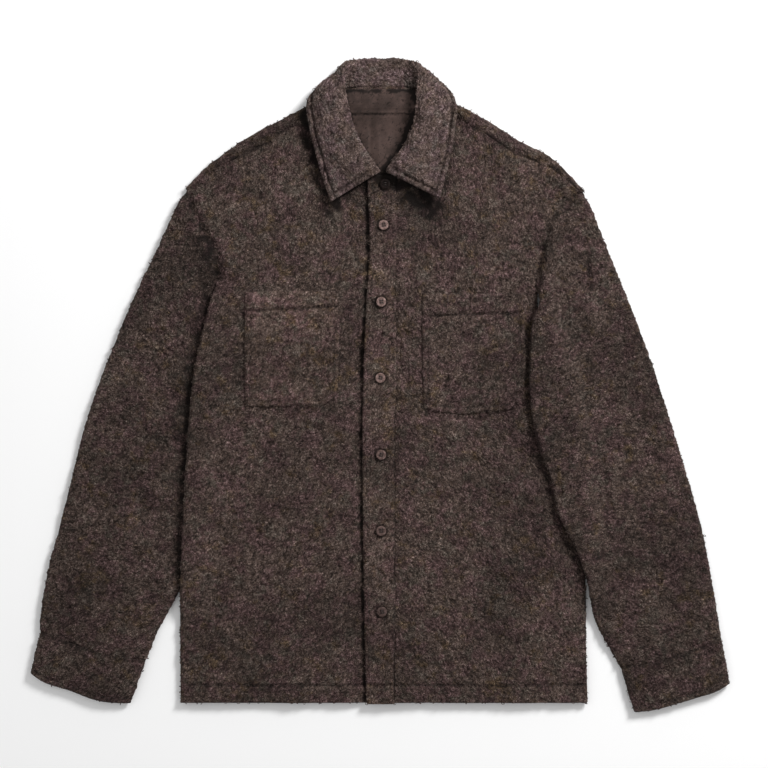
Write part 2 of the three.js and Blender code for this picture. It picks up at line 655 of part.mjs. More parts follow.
// A sheet of lining lying on the back
function makeLining({ left, right, top, bottom }, panel) {
  const surface = surfaceOf(panel);
  const sheet = (lift) => [0, 0.2, 0.4, 0.6, 0.8, 1].map((v) => (
    [0, 0.125, 0.25, 0.375, 0.5, 0.625, 0.75, 0.875, 1].map((u) => {
      const [x, y] = [lerp(left, right, u), lerp(bottom, top, v)];
      return new THREE.Vector3(x, y, surface(x, y) + lift);
    })
  ));
  return wallBetween(sheet(2 * seamGap + cloth.lining), sheet(2 * seamGap));
}

// A patch pocket: its own outline over the front's surface
function makePocket({ left, right, top, bottom, sag, clip }, panel) {
  const surface = surfaceOf(panel);
  const shares = [0, 0.015, 0.06, 0.3, 0.5, 0.7, 0.94, 0.985, 1];
  const outer = [];
  const inner = [];
  for (const v of shares) {
    const row = [];
    const under = [];
    for (const u of shares) {
      const cut = clip * (1 - smoothstep(v, 0, 0.12));
      const x = lerp(left + cut * 0.4, right - cut, u);
      const y = lerp(bottom - sag * Math.sin(Math.PI * u), top, v);
      const fromEdge = Math.min(u, 1 - u, v, 1 - v);
      const full = fromEdge === 0 ? 0.5 : fromEdge < 0.02 ? 0.85 : 1;
      const z = surface(x, y) + seamGap;
      under.push(new THREE.Vector3(x, y, z));
      row.push(new THREE.Vector3(x, y, z + cloth.wall * full));
    }
    outer.push(row);
    inner.push(under);
  }
  return wallBetween(outer, inner);
}

function makeButton() {
  const { radius, thick, bevel, hole, holeRing } = button;
  const ring = (x, y, r, sides) => Array.from({ length: sides }, (_, k) => {
    const angle = (2 * Math.PI * k) / sides;
    return new THREE.Vector2(x + r * Math.cos(angle), y + r * Math.sin(angle));
  });
  const face = new THREE.Shape(ring(0, 0, radius - bevel / 2, 22));
  for (let k = 0; k < 4; k++) {
    const angle = Math.PI / 4 + (k * Math.PI) / 2;
    const [x, y] = [holeRing * Math.cos(angle), holeRing * Math.sin(angle)];
    face.holes.push(new THREE.Path(ring(x, y, hole + bevel / 2, 6)));
  }
  return new THREE.ExtrudeGeometry(face, {
    depth: thick, steps: 1, bevelEnabled: true,
    bevelThickness: bevel, bevelSize: bevel / 2, bevelSegments: 1,
  });
}

const shacket = new THREE.Group();
const frontRight = piece("front_right", makeFrontRight(), wool);
const frontLeft = piece("front_left", makeFrontLeft(), wool);
const panels = { pocket_right: frontRight, pocket_left: frontLeft };
const back = piece("back", makeBack(), wool);
shacket.add(back, frontRight, frontLeft);
shacket.add(piece("placket", makePlacket(frontRight), wool));
for (const [name, shape] of Object.entries(sleeves)) {
  shacket.add(piece(name, makeSleeve(shape), wool));
  shacket.add(piece(name.replace("sleeve", "cuff"), makeCuff(shape), wool));
}
for (const [name, shape] of Object.entries(pockets)) {
  shacket.add(piece(name, makePocket(shape, panels[name]), wool));
}
shacket.add(piece("collar", makeCollar(), woolCollar));
for (const [name, shape] of Object.entries(linings)) {
  shacket.add(piece(name, makeLining(shape, back), liningCloth));
}

const buttonZ = body.height - frontDrop + cloth.placket + 3 * seamGap + button.bevel;
buttons.forEach(([x, y], k) => {
  const made = piece("button_" + (k + 1), makeButton(), buttonResin);
  made.position.set(x, y, buttonZ + neckRise(y));
  shacket.add(made);
});

// The origin is under the middle of the whole garment
const box = new THREE.Box3().setFromObject(shacket, true);
const middle = box.getCenter(new THREE.Vector3());
shacket.position.set(-middle.x, -middle.y, -box.min.z);

export default shacket;
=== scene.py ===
import json
import math

import bpy
import numpy as np
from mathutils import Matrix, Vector

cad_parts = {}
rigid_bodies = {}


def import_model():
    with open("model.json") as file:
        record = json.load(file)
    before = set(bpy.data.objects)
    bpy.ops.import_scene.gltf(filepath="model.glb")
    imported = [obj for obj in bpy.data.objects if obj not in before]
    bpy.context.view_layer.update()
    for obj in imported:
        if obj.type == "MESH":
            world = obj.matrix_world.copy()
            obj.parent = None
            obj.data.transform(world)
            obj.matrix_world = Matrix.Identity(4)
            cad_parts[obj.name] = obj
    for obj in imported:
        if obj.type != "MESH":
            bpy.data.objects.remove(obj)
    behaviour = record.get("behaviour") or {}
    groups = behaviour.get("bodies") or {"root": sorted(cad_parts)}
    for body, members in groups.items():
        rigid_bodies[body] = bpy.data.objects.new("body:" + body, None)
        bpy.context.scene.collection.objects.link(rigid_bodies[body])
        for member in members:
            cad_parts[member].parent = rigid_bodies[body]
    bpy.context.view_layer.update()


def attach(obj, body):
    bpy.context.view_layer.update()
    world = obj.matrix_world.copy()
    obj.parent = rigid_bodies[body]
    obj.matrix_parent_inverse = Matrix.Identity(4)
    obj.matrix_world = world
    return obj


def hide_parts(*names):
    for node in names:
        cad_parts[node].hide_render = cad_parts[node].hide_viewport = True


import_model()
print("frame loaded")

# The garment is drawn in millimetres, +Y towards the collar, then moved into the frame in metres
drawing = {"shift": (0.5, -0.25, 0.0), "seed": 41}


# Camera and light

view = {"centre": (0.0049, 0.0010), "height": 2.6, "across": 0.96, "level": 0.009}

bpy.ops.object.select_all(action="DESELECT")
bpy.ops.object.camera_add(location=(*view["centre"], view["height"]), rotation=(0, 0, 0))
camera = bpy.context.object
camera.name = "overheadCamera"
camera.data.sensor_width = 36
camera.data.lens = 36 * (view["height"] - view["level"]) / view["across"]
bpy.context.scene.camera = camera

studio = {
    "key": {"place": (1.5, 1.6, 1.5), "size": 0.8, "power": 72},
    "fill": {"place": (-1.6, 0.4, 2.2), "size": 2.6, "power": 7},
    "sky": 0.49,
    "floor": (0.97, 0.97, 0.97),
}


def addSoftbox(name, place, size, power):
    bpy.ops.object.light_add(type="AREA", location=place)
    lamp = bpy.context.object
    lamp.name = name
    lamp.data.shape = "DISK"
    lamp.data.size = size
    lamp.data.energy = power
    lamp.rotation_euler = (-Vector(place)).to_track_quat("-Z", "Y").to_euler()


addSoftbox("keySoftbox", **studio["key"])
addSoftbox("fillSoftbox", **studio["fill"])

world = bpy.data.worlds.new("paleRoom")
world.use_nodes = True
world.node_tree.nodes["Background"].inputs["Color"].default_value = (1, 1, 1, 1)
world.node_tree.nodes["Background"].inputs["Strength"].default_value = studio["sky"]
bpy.context.scene.world = world
bpy.context.scene.view_settings.view_transform = "Standard"

bpy.ops.mesh.primitive_plane_add(size=9, location=(0, 0, -0.0004))
floor = bpy.context.object
floor.name = "paleFloor"
floorPaint = bpy.data.materials.new("paleFloor")
floorPaint.use_nodes = True
floorShader = floorPaint.node_tree.nodes["Principled BSDF"]
floorShader.inputs["Base Color"].default_value = (*studio["floor"], 1)
floorShader.inputs["Roughness"].default_value = 0.9
floor.data.materials.append(floorPaint)
print("camera and light ready")


# Node groups for the cloths, and the small helpers that build them

def newGroup(name, inputs, outputs):
    group = bpy.data.node_groups.new(name, "ShaderNodeTree")
    for label, kind, value in inputs:
        socket = group.interface.new_socket(name=label, in_out="INPUT", socket_type=kind)
        socket.default_value = value
    for label, kind in outputs:
        group.interface.new_socket(name=label, in_out="OUTPUT", socket_type=kind)
    start = group.nodes.new("NodeGroupInput")
    end = group.nodes.new("NodeGroupOutput")
    return group, start, end


def addNoise(tree, where, scale, detail, roughness=0.55, distortion=0.0):
    node = tree.nodes.new("ShaderNodeTexNoise")
    node.inputs["Scale"].default_value = scale
    node.inputs["Detail"].default_value = detail
    node.inputs["Roughness"].default_value = roughness
    node.inputs["Distortion"].default_value = distortion
    tree.links.new(where, node.inputs["Vector"])
    return node.outputs["Fac"]


def addMath(tree, operation, first, second):
    node = tree.nodes.new("ShaderNodeMath")
    node.operation = operation
    for socket, value in zip(node.inputs, (first, second)):
        if isinstance(value, (int, float)):
            socket.default_value = value
        else:
            tree.links.new(value, socket)
    return node.outputs[0]


def addRange(tree, value, low, high, toLow=0.0, toHigh=1.0):
    node = tree.nodes.new("ShaderNodeMapRange")
    node.interpolation_type = "SMOOTHSTEP"
    tree.links.new(value, node.inputs["Value"])
    for label, number in (("From Min", low), ("From Max", high), ("To Min", toLow), ("To Max", toHigh)):
        node.inputs[label].default_value = number
    return node.outputs["Result"]


def addMix(tree, share, first, second, blend="MIX"):
    node = tree.nodes.new("ShaderNodeMix")
    node.data_type = "RGBA"
    node.blend_type = blend
    colours = [s for s in node.inputs if s.type == "RGBA"]
    if isinstance(share, (int, float)):
        node.inputs[0].default_value = share
    else:
        tree.links.new(share, node.inputs[0])
    for socket, value in zip(colours, (first, second)):
        if isinstance(value, tuple):
            socket.default_value = (*value, 1)
        else:
            tree.links.new(value, socket)
    return [s for s in node.outputs if s.type == "RGBA"][0]


# Thin curling lines: where a twisted noise crosses its middle value
def addStrands(tree, where, scale, distortion, wide):
    twisted = addNoise(tree, where, scale, 1.0, 0.4, distortion)
    return addRange(
        tree, addMath(tree, "ABSOLUTE", addMath(tree, "SUBTRACT", twisted, 0.5), 0), 0.0, wide, 1, 0
    )


# Curly wool: painted shade between the loops and wherever the pile value is low, pale strands and tips, paler
# on the high loops as a painted highlight, with olive and mauve patches
def makeBoucleGroup():
    group, start, end = newGroup(
        "boucleWool",
        [
            ("Vector", "NodeSocketVector", (0, 0, 0)),
            ("PileAndShade", "NodeSocketFloat", 0.5),
            ("RootAndShade", "NodeSocketColor", (0.02, 0.014, 0.012, 1)),
            ("Body", "NodeSocketColor", (0.07, 0.05, 0.043, 1)),
            ("Tip", "NodeSocketColor", (0.2, 0.16, 0.15, 1)),
            ("Olive", "NodeSocketColor", (1.04, 0.98, 0.66, 1)),
            ("Mauve", "NodeSocketColor", (1.06, 0.86, 1.0, 1)),
            ("Moss", "NodeSocketColor", (0.88, 1.02, 0.98, 1)),
        ],
        [("Color", "NodeSocketColor"), ("Height", "NodeSocketFloat"), ("Roughness", "NodeSocketFloat")],
    )
    where, loft = start.outputs["Vector"], start.outputs["PileAndShade"]
    patches = addNoise(group, where, 46, 6, 0.68)
    other = addNoise(group, addOffset(group, where, 5.3), 40, 6, 0.68)
    third = addNoise(group, addOffset(group, where, 8.7), 52, 6, 0.68)
    curls = addNoise(group, where, 225, 2.5, 0.62, 2.2)
    fibres = addNoise(group, addOffset(group, where, 2.1), 700, 2, 0.65, 1.6)
    strands = addMath(
        group, "MAXIMUM",
        addStrands(group, addOffset(group, where, 1.7), 155, 2.8, 0.053),
        addStrands(group, addOffset(group, where, 3.9), 230, 2.4, 0.055),
    )
    broken = addMath(group, "MULTIPLY", strands, addRange(group, fibres, 0.4, 0.58, 0.1, 1))
    tint = addMix(group, addRange(group, patches, 0.52, 0.64, 0, 1), (1.0, 1.0, 1.0), start.outputs["Olive"])
    tint = addMix(group, addRange(group, other, 0.45, 0.59, 0, 1), tint, start.outputs["Mauve"])
    tint = addMix(group, addRange(group, third, 0.51, 0.64, 0, 1), tint, start.outputs["Moss"])
    pale = addMath(group, "MAXIMUM", addRange(group, fibres, 0.52, 0.74, 0, 0.7), broken)
    # painted highlight: the pale strands show more on the high curls and on high pile
    raised = addMath(
        group, "MULTIPLY", addRange(group, curls, 0.36, 0.6, 0.2, 1),
        addRange(group, loft, 0.1, 0.9, 0.35, 1)
    )
    tipped = addMix(
        group, addMath(group, "MULTIPLY", pale, raised), start.outputs["Body"], start.outputs["Tip"]
    )
    # painted shade in the low places of the curls and the pile
    low = addRange(group, curls, 0.32, 0.52, 0.9, 0)
    deep = addMath(group, "MAXIMUM", low, addRange(group, loft, 0.03, 0.5, 0.98, 0))
    between = addMath(group, "MULTIPLY", deep, addRange(group, broken, 0, 1, 0.96, 0.4))
    # painted shade: a low pile value (seams, grooves and the painted shadows) turns the colour to RootAndShade
    shadeShare = addMath(group, "MAXIMUM", between, addRange(group, loft, 0.0, 0.2, 0.96, 0))
    shaded = addMix(group, shadeShare, tipped, start.outputs["RootAndShade"])
    tinted = addMix(group, 1.0, shaded, tint, "MULTIPLY")
    clumps = addNoise(group, addOffset(group, where, 4.4), 125, 1.5)
    clumpTone = addMix(group, addRange(group, clumps, 0.36, 0.64), (0.8, 0.8, 0.8), (1.2, 1.2, 1.2))
    clumped = addMix(group, 1.0, tinted, clumpTone, "MULTIPLY")
    clouds = addNoise(group, addOffset(group, where, 6.1), 9, 2)
    colour = addMix(group, addRange(group, clouds, 0.36, 0.6, 0.3, 0), clumped, (0.0, 0.0, 0.0))
    relief = addMath(
        group, "ADD", addMath(group, "MULTIPLY", curls, 0.6), addMath(group, "MULTIPLY", fibres, 0.25)
    )
    height = addMath(group, "ADD", relief, addMath(group, "MULTIPLY", broken, 0.16))
    group.links.new(colour, end.inputs["Color"])
    group.links.new(height, end.inputs["Height"])
    group.links.new(addRange(group, fibres, 0.3, 0.7, 1.0, 0.82), end.inputs["Roughness"])
    return group


def addOffset(tree, where, amount):
    node = tree.nodes.new("ShaderNodeVectorMath")
    node.operation = "ADD"
    node.inputs[1].default_value = (amount, amount * 0.7, amount * 0.4)
    tree.links.new(where, node.inputs[0])
    return node.outputs["Vector"]


# Fine twill: narrow diagonal ribs with a little slub
def makeTwillGroup():
    group, start, end = newGroup(
        "twillLining",
        [
            ("Vector", "NodeSocketVector", (0, 0, 0)),
            ("Body", "NodeSocketColor", (0.07, 0.05, 0.045, 1)),
            ("Shade", "NodeSocketColor", (0.05, 0.036, 0.032, 1)),
            ("PileAndShade", "NodeSocketFloat", 1.0),
        ],
        [("Color", "NodeSocketColor"), ("Height", "NodeSocketFloat"), ("Roughness", "NodeSocketFloat")],
    )
    where = start.outputs["Vector"]
    ribs = group.nodes.new("ShaderNodeTexWave")
    ribs.wave_type = "BANDS"
    ribs.bands_direction = "DIAGONAL"
    ribs.inputs["Scale"].default_value = 420
    ribs.inputs["Distortion"].default_value = 0.6
    group.links.new(where, ribs.inputs["Vector"])
    slub = addNoise(group, where, 160, 3)
    cloud = addNoise(group, where, 42, 4, 0.6)
    mixed = addMath(
        group, "ADD", addMath(group, "MULTIPLY", ribs.outputs["Fac"], 0.25),
        addMath(group, "MULTIPLY", slub, 0.5)
    )
    share = addMath(group, "ADD", mixed, addMath(group, "MULTIPLY", cloud, 1.1))
    plain = addMix(group, addRange(group, share, 0.72, 1.12), start.outputs["Shade"], start.outputs["Body"])
    # painted shade: where the pile value is low the lining turns near black
    colour = addMix(
        group, addRange(group, start.outputs["PileAndShade"], 0.02, 0.3, 0.85, 0), plain, (0.004, 0.003, 0.0025)
    )
    group.links.new(colour, end.inputs["Color"])
    group.links.new(mixed, end.inputs["Height"])
    group.links.new(addRange(group, slub, 0.3, 0.7, 0.62, 0.78), end.inputs["Roughness"])
    return group


boucleGroup = makeBoucleGroup()
twillGroup = makeTwillGroup()


def newPaint(name):
    material = bpy.data.materials.new(name)
    material.use_nodes = True
    tree = material.node_tree
    place = tree.nodes.new("ShaderNodeTexCoord").outputs["Object"]
    return material, tree, tree.nodes["Principled BSDF"], place


def newMaterial(name, group, values, bump, sheen):
    material, tree, shader, place = newPaint(name)
    cloth = tree.nodes.new("ShaderNodeGroup")
    cloth.node_tree = group
    tree.links.new(place, cloth.inputs["Vector"])
    for label, colour in values.items():
        cloth.inputs[label].default_value = (*colour, 1)
    pile = tree.nodes.new("ShaderNodeAttribute")
    pile.attribute_name = "pile"
    tree.links.new(pile.outputs["Fac"], cloth.inputs["PileAndShade"])
    relief = tree.nodes.new("ShaderNodeBump")
    relief.inputs["Strength"].default_value = bump["strength"]
    relief.inputs["Distance"].default_value = bump["distance"]
    tree.links.new(cloth.outputs["Height"], relief.inputs["Height"])
    tree.links.new(cloth.outputs["Color"], shader.inputs["Base Color"])
    tree.links.new(cloth.outputs["Roughness"], shader.inputs["Roughness"])
    tree.links.new(relief.outputs["Normal"], shader.inputs["Normal"])
    shader.inputs["Sheen Weight"].default_value = sheen["weight"]
    shader.inputs["Sheen Roughness"].default_value = sheen["roughness"]
    shader.inputs["Sheen Tint"].default_value = (*sheen["tint"], 1)
    shader.inputs["Specular IOR Level"].default_value = 0.12
    return material


# RootAndShade: the roots' colour, also used as painted shade in valleys and shadowed places
woolLook = {
    "RootAndShade": (0.0055, 0.0035, 0.0028),
    "Body": (0.054, 0.0345, 0.0273),
    "Tip": (0.48, 0.362, 0.316),
}
woolTints = {"Olive": (1.04, 0.98, 0.72), "Mauve": (1.04, 0.905, 1.03), "Moss": (0.92, 1.02, 1.0)}
collarTints = {"Olive": (1.01, 1.0, 0.92), "Mauve": (1.02, 0.96, 1.09), "Moss": (0.93, 1.04, 1.06)}


# litAndShadedTones scales the colours for each piece: a lighter copy paints light on it, a darker copy paints
# shade
def makeWool(name, litAndShadedTones, tints=woolTints, hue=(1, 1, 1)):
    looks = {
        label: tuple(c * h * tone for c, h in zip(woolLook[label], hue)) for label, tone in litAndShadedTones.items()
    } | tints
    return newMaterial(
        name, boucleGroup, looks,
        {"strength": 1.0, "distance": 0.0022},
        {"weight": 0.05, "roughness": 0.6, "tint": (0.62, 0.52, 0.48)},
    )


wool = makeWool("boucleWool", {"RootAndShade": 1.0, "Body": 1.0, "Tip": 1.0})
# painted shade: the sleeves and cuffs are darker copies of the same wool
woolSleeveShaded = makeWool("boucleSleeveShaded", {"RootAndShade": 0.9, "Body": 0.88, "Tip": 0.9})
woolCuffShaded = makeWool("boucleCuffShaded", {"RootAndShade": 0.85, "Body": 0.78, "Tip": 0.83})
# painted highlight: the placket is a lighter copy of the same wool
woolPlacketLit = makeWool("bouclePlacketLit", {"RootAndShade": 1.2, "Body": 1.25, "Tip": 1.08})
woolPocket = {
    # painted highlight: the right pocket is a lighter copy of the same wool
    "right": makeWool("boucleRightPocketLit", {"RootAndShade": 2.0, "Body": 1.65, "Tip": 1.22}),
    "left": makeWool("boucleLeftPocket", {"RootAndShade": 1.0, "Body": 1.0, "Tip": 0.98}),
}
# painted highlight: the collar is a lighter copy of the same wool
woolCollarLit = makeWool(
    "boucleCollarLit", {"RootAndShade": 3.0, "Body": 1.85, "Tip": 1.14}, collarTints, (0.985, 1.01, 1.06)
)
liningTwill = newMaterial(
    "liningTwill", twillGroup,
    {"Body": (0.078, 0.051, 0.044), "Shade": (0.034, 0.0225, 0.019)},
    {"strength": 0.25, "distance": 0.0004},
    {"weight": 0.1, "roughness": 0.4, "tint": (0.7, 0.6, 0.56)},
)
print("materials ready")


# Numbers shared by the cloth

def softStep(x, low, high):
    t = np.clip((x - low) / (high - low), 0, 1)
    return t * t * (3 - 2 * t)


def unit(v):
    return v / np.maximum(np.linalg.norm(v, axis=-1, keepdims=True), 1e-9)


# A smooth curve through points, sampled densely: (positions, share of the length)
def sampleCurve(points, perSpan=24):
    p = np.array(points, float)
    p = np.vstack([2 * p[0] - p[1], p, 2 * p[-1] - p[-2]])
    out = []
    for k in range(1, len(p) - 2):
        a, b, c, d = p[k - 1:k + 3]
        spans = [max(math.sqrt(np.linalg.norm(q - w)), 1e-6) for q, w in ((b, a), (c, b), (d, c))]
        startSlope = ((b - a) / spans[0] - (c - a) / (spans[0] + spans[1]) + (c - b) / spans[1]) * spans[1]
        endSlope = ((c - b) / spans[1] - (d - b) / (spans[1] + spans[2]) + (d - c) / spans[2]) * spans[1]
        t = np.arange(perSpan)[:, None] / perSpan
        out.append(b * (2 * t**3 - 3 * t**2 + 1) + startSlope * (t**3 - 2 * t**2 + t)
                   + c * (3 * t**2 - 2 * t**3) + endSlope * (t**3 - t**2))
    out = np.vstack(out + [p[-2:-1]])
    reach = np.concatenate([[0], np.cumsum(np.linalg.norm(np.diff(out, axis=0), axis=1))])
    return out, reach / reach[-1], reach[-1]


def curveThrough(points):
    spots, shares, length = sampleCurve(points)

    def at(share):
        return np.stack([np.interp(share, shares, spots[:, k]) for k in range(spots.shape[1])], axis=-1)

    at.length = length
    return at


# Curves end to end, each with its share of the whole
def chain(curves, shares):
    bounds = np.concatenate([[0], np.cumsum(shares)])

    def at(share):
        share = np.asarray(share, float)
        found = curves[-1]((share - bounds[-2]) / shares[-1])
        for k in reversed(range(len(curves) - 1)):
            here = (share <= bounds[k + 1])[..., None]
            found = np.where(here, curves[k]((share - bounds[k]) / shares[k]), found)
        return found

    return at


# A patch between four curves, for rows v and columns u (u may change from row to row);
# the bow of the top curve is felt from row topFrom upwards
def patch(left, right, bottom, top, u, v, topFrom=0.0):
    v = v[:, None] * np.ones_like(u)
    u1, v1 = u[..., None], v[..., None]
    across = left(v) * (1 - u1) + right(v) * u1
    ends = [np.asarray(c(np.array(k))) for c, k in ((left, 0.0), (right, 0.0), (left, 1.0), (right, 1.0))]
    bottomBow = bottom(u) - ends[0] * (1 - u1) - ends[1] * u1
    topBow = top(u) - ends[2] * (1 - u1) - ends[3] * u1
    felt = np.clip((v1 - topFrom) / (1 - topFrom), 0, 1) ** (1.25 if topFrom else 1)
    return across + bottomBow * (1 - v1) + topBow * felt


# Distance to a run of points, and how far along it the nearest place is
def nearRun(x, y, points):
    p = np.array(points, float)
    steps = np.linalg.norm(np.diff(p, axis=0), axis=1)
    starts = np.concatenate([[0], np.cumsum(steps)])
    best = np.full(x.shape, 1e9)
    along = np.zeros(x.shape)
    for k in range(len(p) - 1):
        d = p[k + 1] - p[k]
        t = np.clip(((x - p[k, 0]) * d[0] + (y - p[k, 1]) * d[1]) / (d @ d), 0, 1)
        away = np.hypot(x - p[k, 0] - t * d[0], y - p[k, 1] - t * d[1])
        closer = away < best
        best = np.where(closer, away, best)
        along = np.where(closer, (starts[k] + t * steps[k]) / starts[-1], along)
    return best, along


# Soft troughs (depth above 0) and ridges (below 0), fading out at both ends
def creaseHeight(x, y, creases):
    total = np.zeros(x.shape)
    for crease in creases:
        away, along = nearRun(x, y, crease["run"])
        fade = np.sin(np.pi * np.clip(along * 0.92 + 0.04, 0, 1)) ** 0.7
        total -= crease["depth"] * fade * np.exp(-(away / crease["width"]) ** 2)
    return total


# A stitched groove: a narrow dip between two small swellings
def grooveHeight(x, y, grooves):
    total = np.zeros(x.shape)
    for groove in grooves:
        away, _ = nearRun(x, y, groove["run"])
        wide = groove["width"]
        total -= groove["depth"] * (
            np.exp(-(away / wide) ** 2) - 0.3 * np.exp(-((away - 2.4 * wide) / (1.6 * wide)) ** 2)
        )
    return total


# Woolly relief: noise of one wavelength, a sample a millimetre
def woollyField(seed, wave, spread):
    size = 1024
    k = np.sqrt(np.fft.fftfreq(size)[:, None] ** 2 + np.fft.rfftfreq(size)[None, :] ** 2) * wave
    noise = np.random.default_rng(seed).standard_normal((size, size))
    field = np.fft.irfft2(np.fft.rfft2(noise) * np.exp(-((k - 1) / spread) ** 2))
    return field / field.std()


def readField(field, x, y):
    gx, gy = x + 512, y + 512
    i, j = np.floor(gx).astype(int), np.floor(gy).astype(int)
    fx, fy = gx - i, gy - j
    size = len(field)
    i, j, i1, j1 = i % size, j % size, (i + 1) % size, (j + 1) % size
    low = field[j, i] * (1 - fx) + field[j, i1] * fx
    high = field[j1, i] * (1 - fx) + field[j1, i1] * fx
    return low * (1 - fy) + high * fy


fleece = {"lump": 7.5, "loop": 4.2, "height": 2.25, "wave": 60, "waveHeight": 0.8, "inner": 0.4}
lumps = woollyField(drawing["seed"], fleece["lump"], 0.35)
loops = woollyField(drawing["seed"] + 1, fleece["loop"], 0.3)
swells = woollyField(drawing["seed"] + 2, fleece["wave"], 0.5)


# Pile pressed flat along seams, and painted shade in grooves and shadows: 1 where the pile stands free and
# unshaded; a lower value both flattens the pile and darkens its colour
def shadeAndPressAt(x, y, runs):
    free = np.ones(x.shape)
    for run in runs:
        away, along = nearRun(x, y, run["run"])
        fade = softStep(along, -0.02, 0.08) * (1 - softStep(along, 0.92, 1.02)) if run.get("fade") else 1.0
        fade = fade * np.clip(0.85 + 0.35 * readField(swells, 3 * x, 3 * y), 0.3, 1.2)
        free *= np.clip(1 - run["pressAndShade"] * fade * np.exp(-(away / run["width"]) ** 2), 0, 1)
    return free


# 0 in the valleys, about 1 on the tops of the loops
def pileAt(points, shift=0.0):
    x = points[..., 0] + 0.8 * points[..., 2] + shift
    y = points[..., 1] + 0.8 * points[..., 2] + 0.6 * shift
    lump = np.minimum(np.abs(readField(lumps, x, y)), 1.5) / 1.5
    loop = np.minimum(np.abs(readField(loops, x, y)), 1.6) / 1.6
    return 0.58 * lump + 0.42 * loop


# The pile stands out of the cloth, but on a face that rests on the surface it only sinks into it
def pileRise(loft, normal, tall):
    facing = softStep(normal[..., 2], -0.85, -0.2)
    return fleece["height"] * tall * ((loft - 0.42) * facing - 0.6 * (1 - loft) * (1 - facing))


def swellAt(x, y):
    return fleece["waveHeight"] * readField(swells, x, y)


def slopeNormals(grid, flip=1):
    normal = np.cross(np.gradient(grid, axis=1), np.gradient(grid, axis=0))
    return unit(normal) * flip


# A sheet with a wall: the fine outer face, rounded edges and a plain inner face, as one closed loop a row
def sheetLattice(outer, wall, inside, pile, flip=1, edgePile=1.0):
    normal = slopeNormals(outer, flip)
    rows, columns = outer.shape[:2]
    half = wall / 2
    # the pile value is lowered where pile lies pressed and where painted shade is wanted
    loft = pileAt(outer, pile["shift"]) * pile.get("free", 1.0)
    rise = pileRise(loft, normal, pile["height"]) * pile.get("mask", 1.0)
    picked = np.linspace(columns - 1, 0, inside).round().astype(int)
    mids = [outer - normal * half]
    offsets = [normal * (half + rise[..., None])]
    lofts = [loft]

    def addRim(column, before):
        away = unit(outer[:, column] - outer[:, before])
        away = unit(away - normal[:, column] * np.sum(away * normal[:, column], axis=-1, keepdims=True))
        for angle in (40, 75, 105, 140) if column == columns - 1 else (140, 105, 75, 40):
            turn = math.radians(angle)
            swell = 1 + 0.35 * edgePile * (loft[:, column, None] - 0.4) * math.sin(turn)
            offset = half * (math.cos(turn) * normal[:, column] + math.sin(turn) * away) * swell
            mids.append((outer[:, column] - normal[:, column] * half)[:, None])
            offsets.append(offset[:, None])
            lofts.append(loft[:, column, None] * 0.8)

    addRim(columns - 1, columns - 2)
    mids.append((outer - normal * half)[:, picked])
    offsets.append((-normal * half)[:, picked])
    lofts.append(np.full((rows, inside), fleece["inner"]))
    addRim(0, 1)
    mids, offsets, lofts = (np.concatenate(part, axis=1) for part in (mids, offsets, lofts))
    lattice, loftRows = [mids + offsets], [lofts]
    for end, before in ((0, 1), (rows - 1, rows - 2)):
        along = unit(mids[end] - mids[before])
        for angle in (30, 60, 90):  # at 90 both faces meet on one line, so the end closes
            turn = math.radians(angle)
            bumps = 1 + 0.35 * edgePile * (lofts[end][:, None] - 0.4) * (angle < 90)
            ring = mids[end] + offsets[end] * math.cos(turn) + along * half * math.sin(turn) * bumps
            if end == 0:
                lattice.insert(0, ring[None])
                loftRows.insert(0, lofts[end][None])
            else:
                lattice.append(ring[None])
                loftRows.append(lofts[end][None])
    lattice, lofts = np.concatenate(lattice), np.concatenate(loftRows)
    return np.concatenate([lattice, lattice[:, :1]], axis=1), np.concatenate([lofts, lofts[:, :1]], axis=1)


# A tube with a wall: closed round its columns, and its rows run out along the outside and back inside
def tubeLattice(outer, wall, inside, pile, flip=1):
    padded = np.concatenate([outer[:, -2:-1], outer, outer[:, 1:2]], axis=1)
    normal = slopeNormals(padded, flip)[:, 1:-1]
    normal[:, -1] = normal[:, 0]
    rows = len(outer)
    half = wall / 2
    loft = pileAt(outer, pile["shift"]) * pile.get("free", 1.0)
    rise = pileRise(loft, normal, pile["height"])
    mid = outer - normal * half
    lattice = [mid + normal * (half + rise[..., None])]
    lofts = [loft]

    def addRim(row, before, angles):
        along = unit(mid[row] - mid[before])
        for angle in angles:
            turn = math.radians(angle)
            swell = 1 + 0.3 * (loft[row, :, None] - 0.4) * math.sin(turn)
            ring = mid[row] + half * (math.cos(turn) * normal[row] + math.sin(turn) * along) * swell
            lattice.append(ring[None])
            lofts.append(loft[row][None])

    addRim(rows - 1, rows - 2, (45, 90, 135))
    picked = np.linspace(rows - 1, 0, inside).round().astype(int)
    lattice.append((mid - normal * half)[picked])
    lofts.append(np.full((inside, outer.shape[1]), fleece["inner"]))
    addRim(0, 1, (135, 90, 45))
    lattice, lofts = np.concatenate(lattice), np.concatenate(lofts)
    return np.concatenate([lattice, lattice[:1]]), np.concatenate([lofts, lofts[:1]])


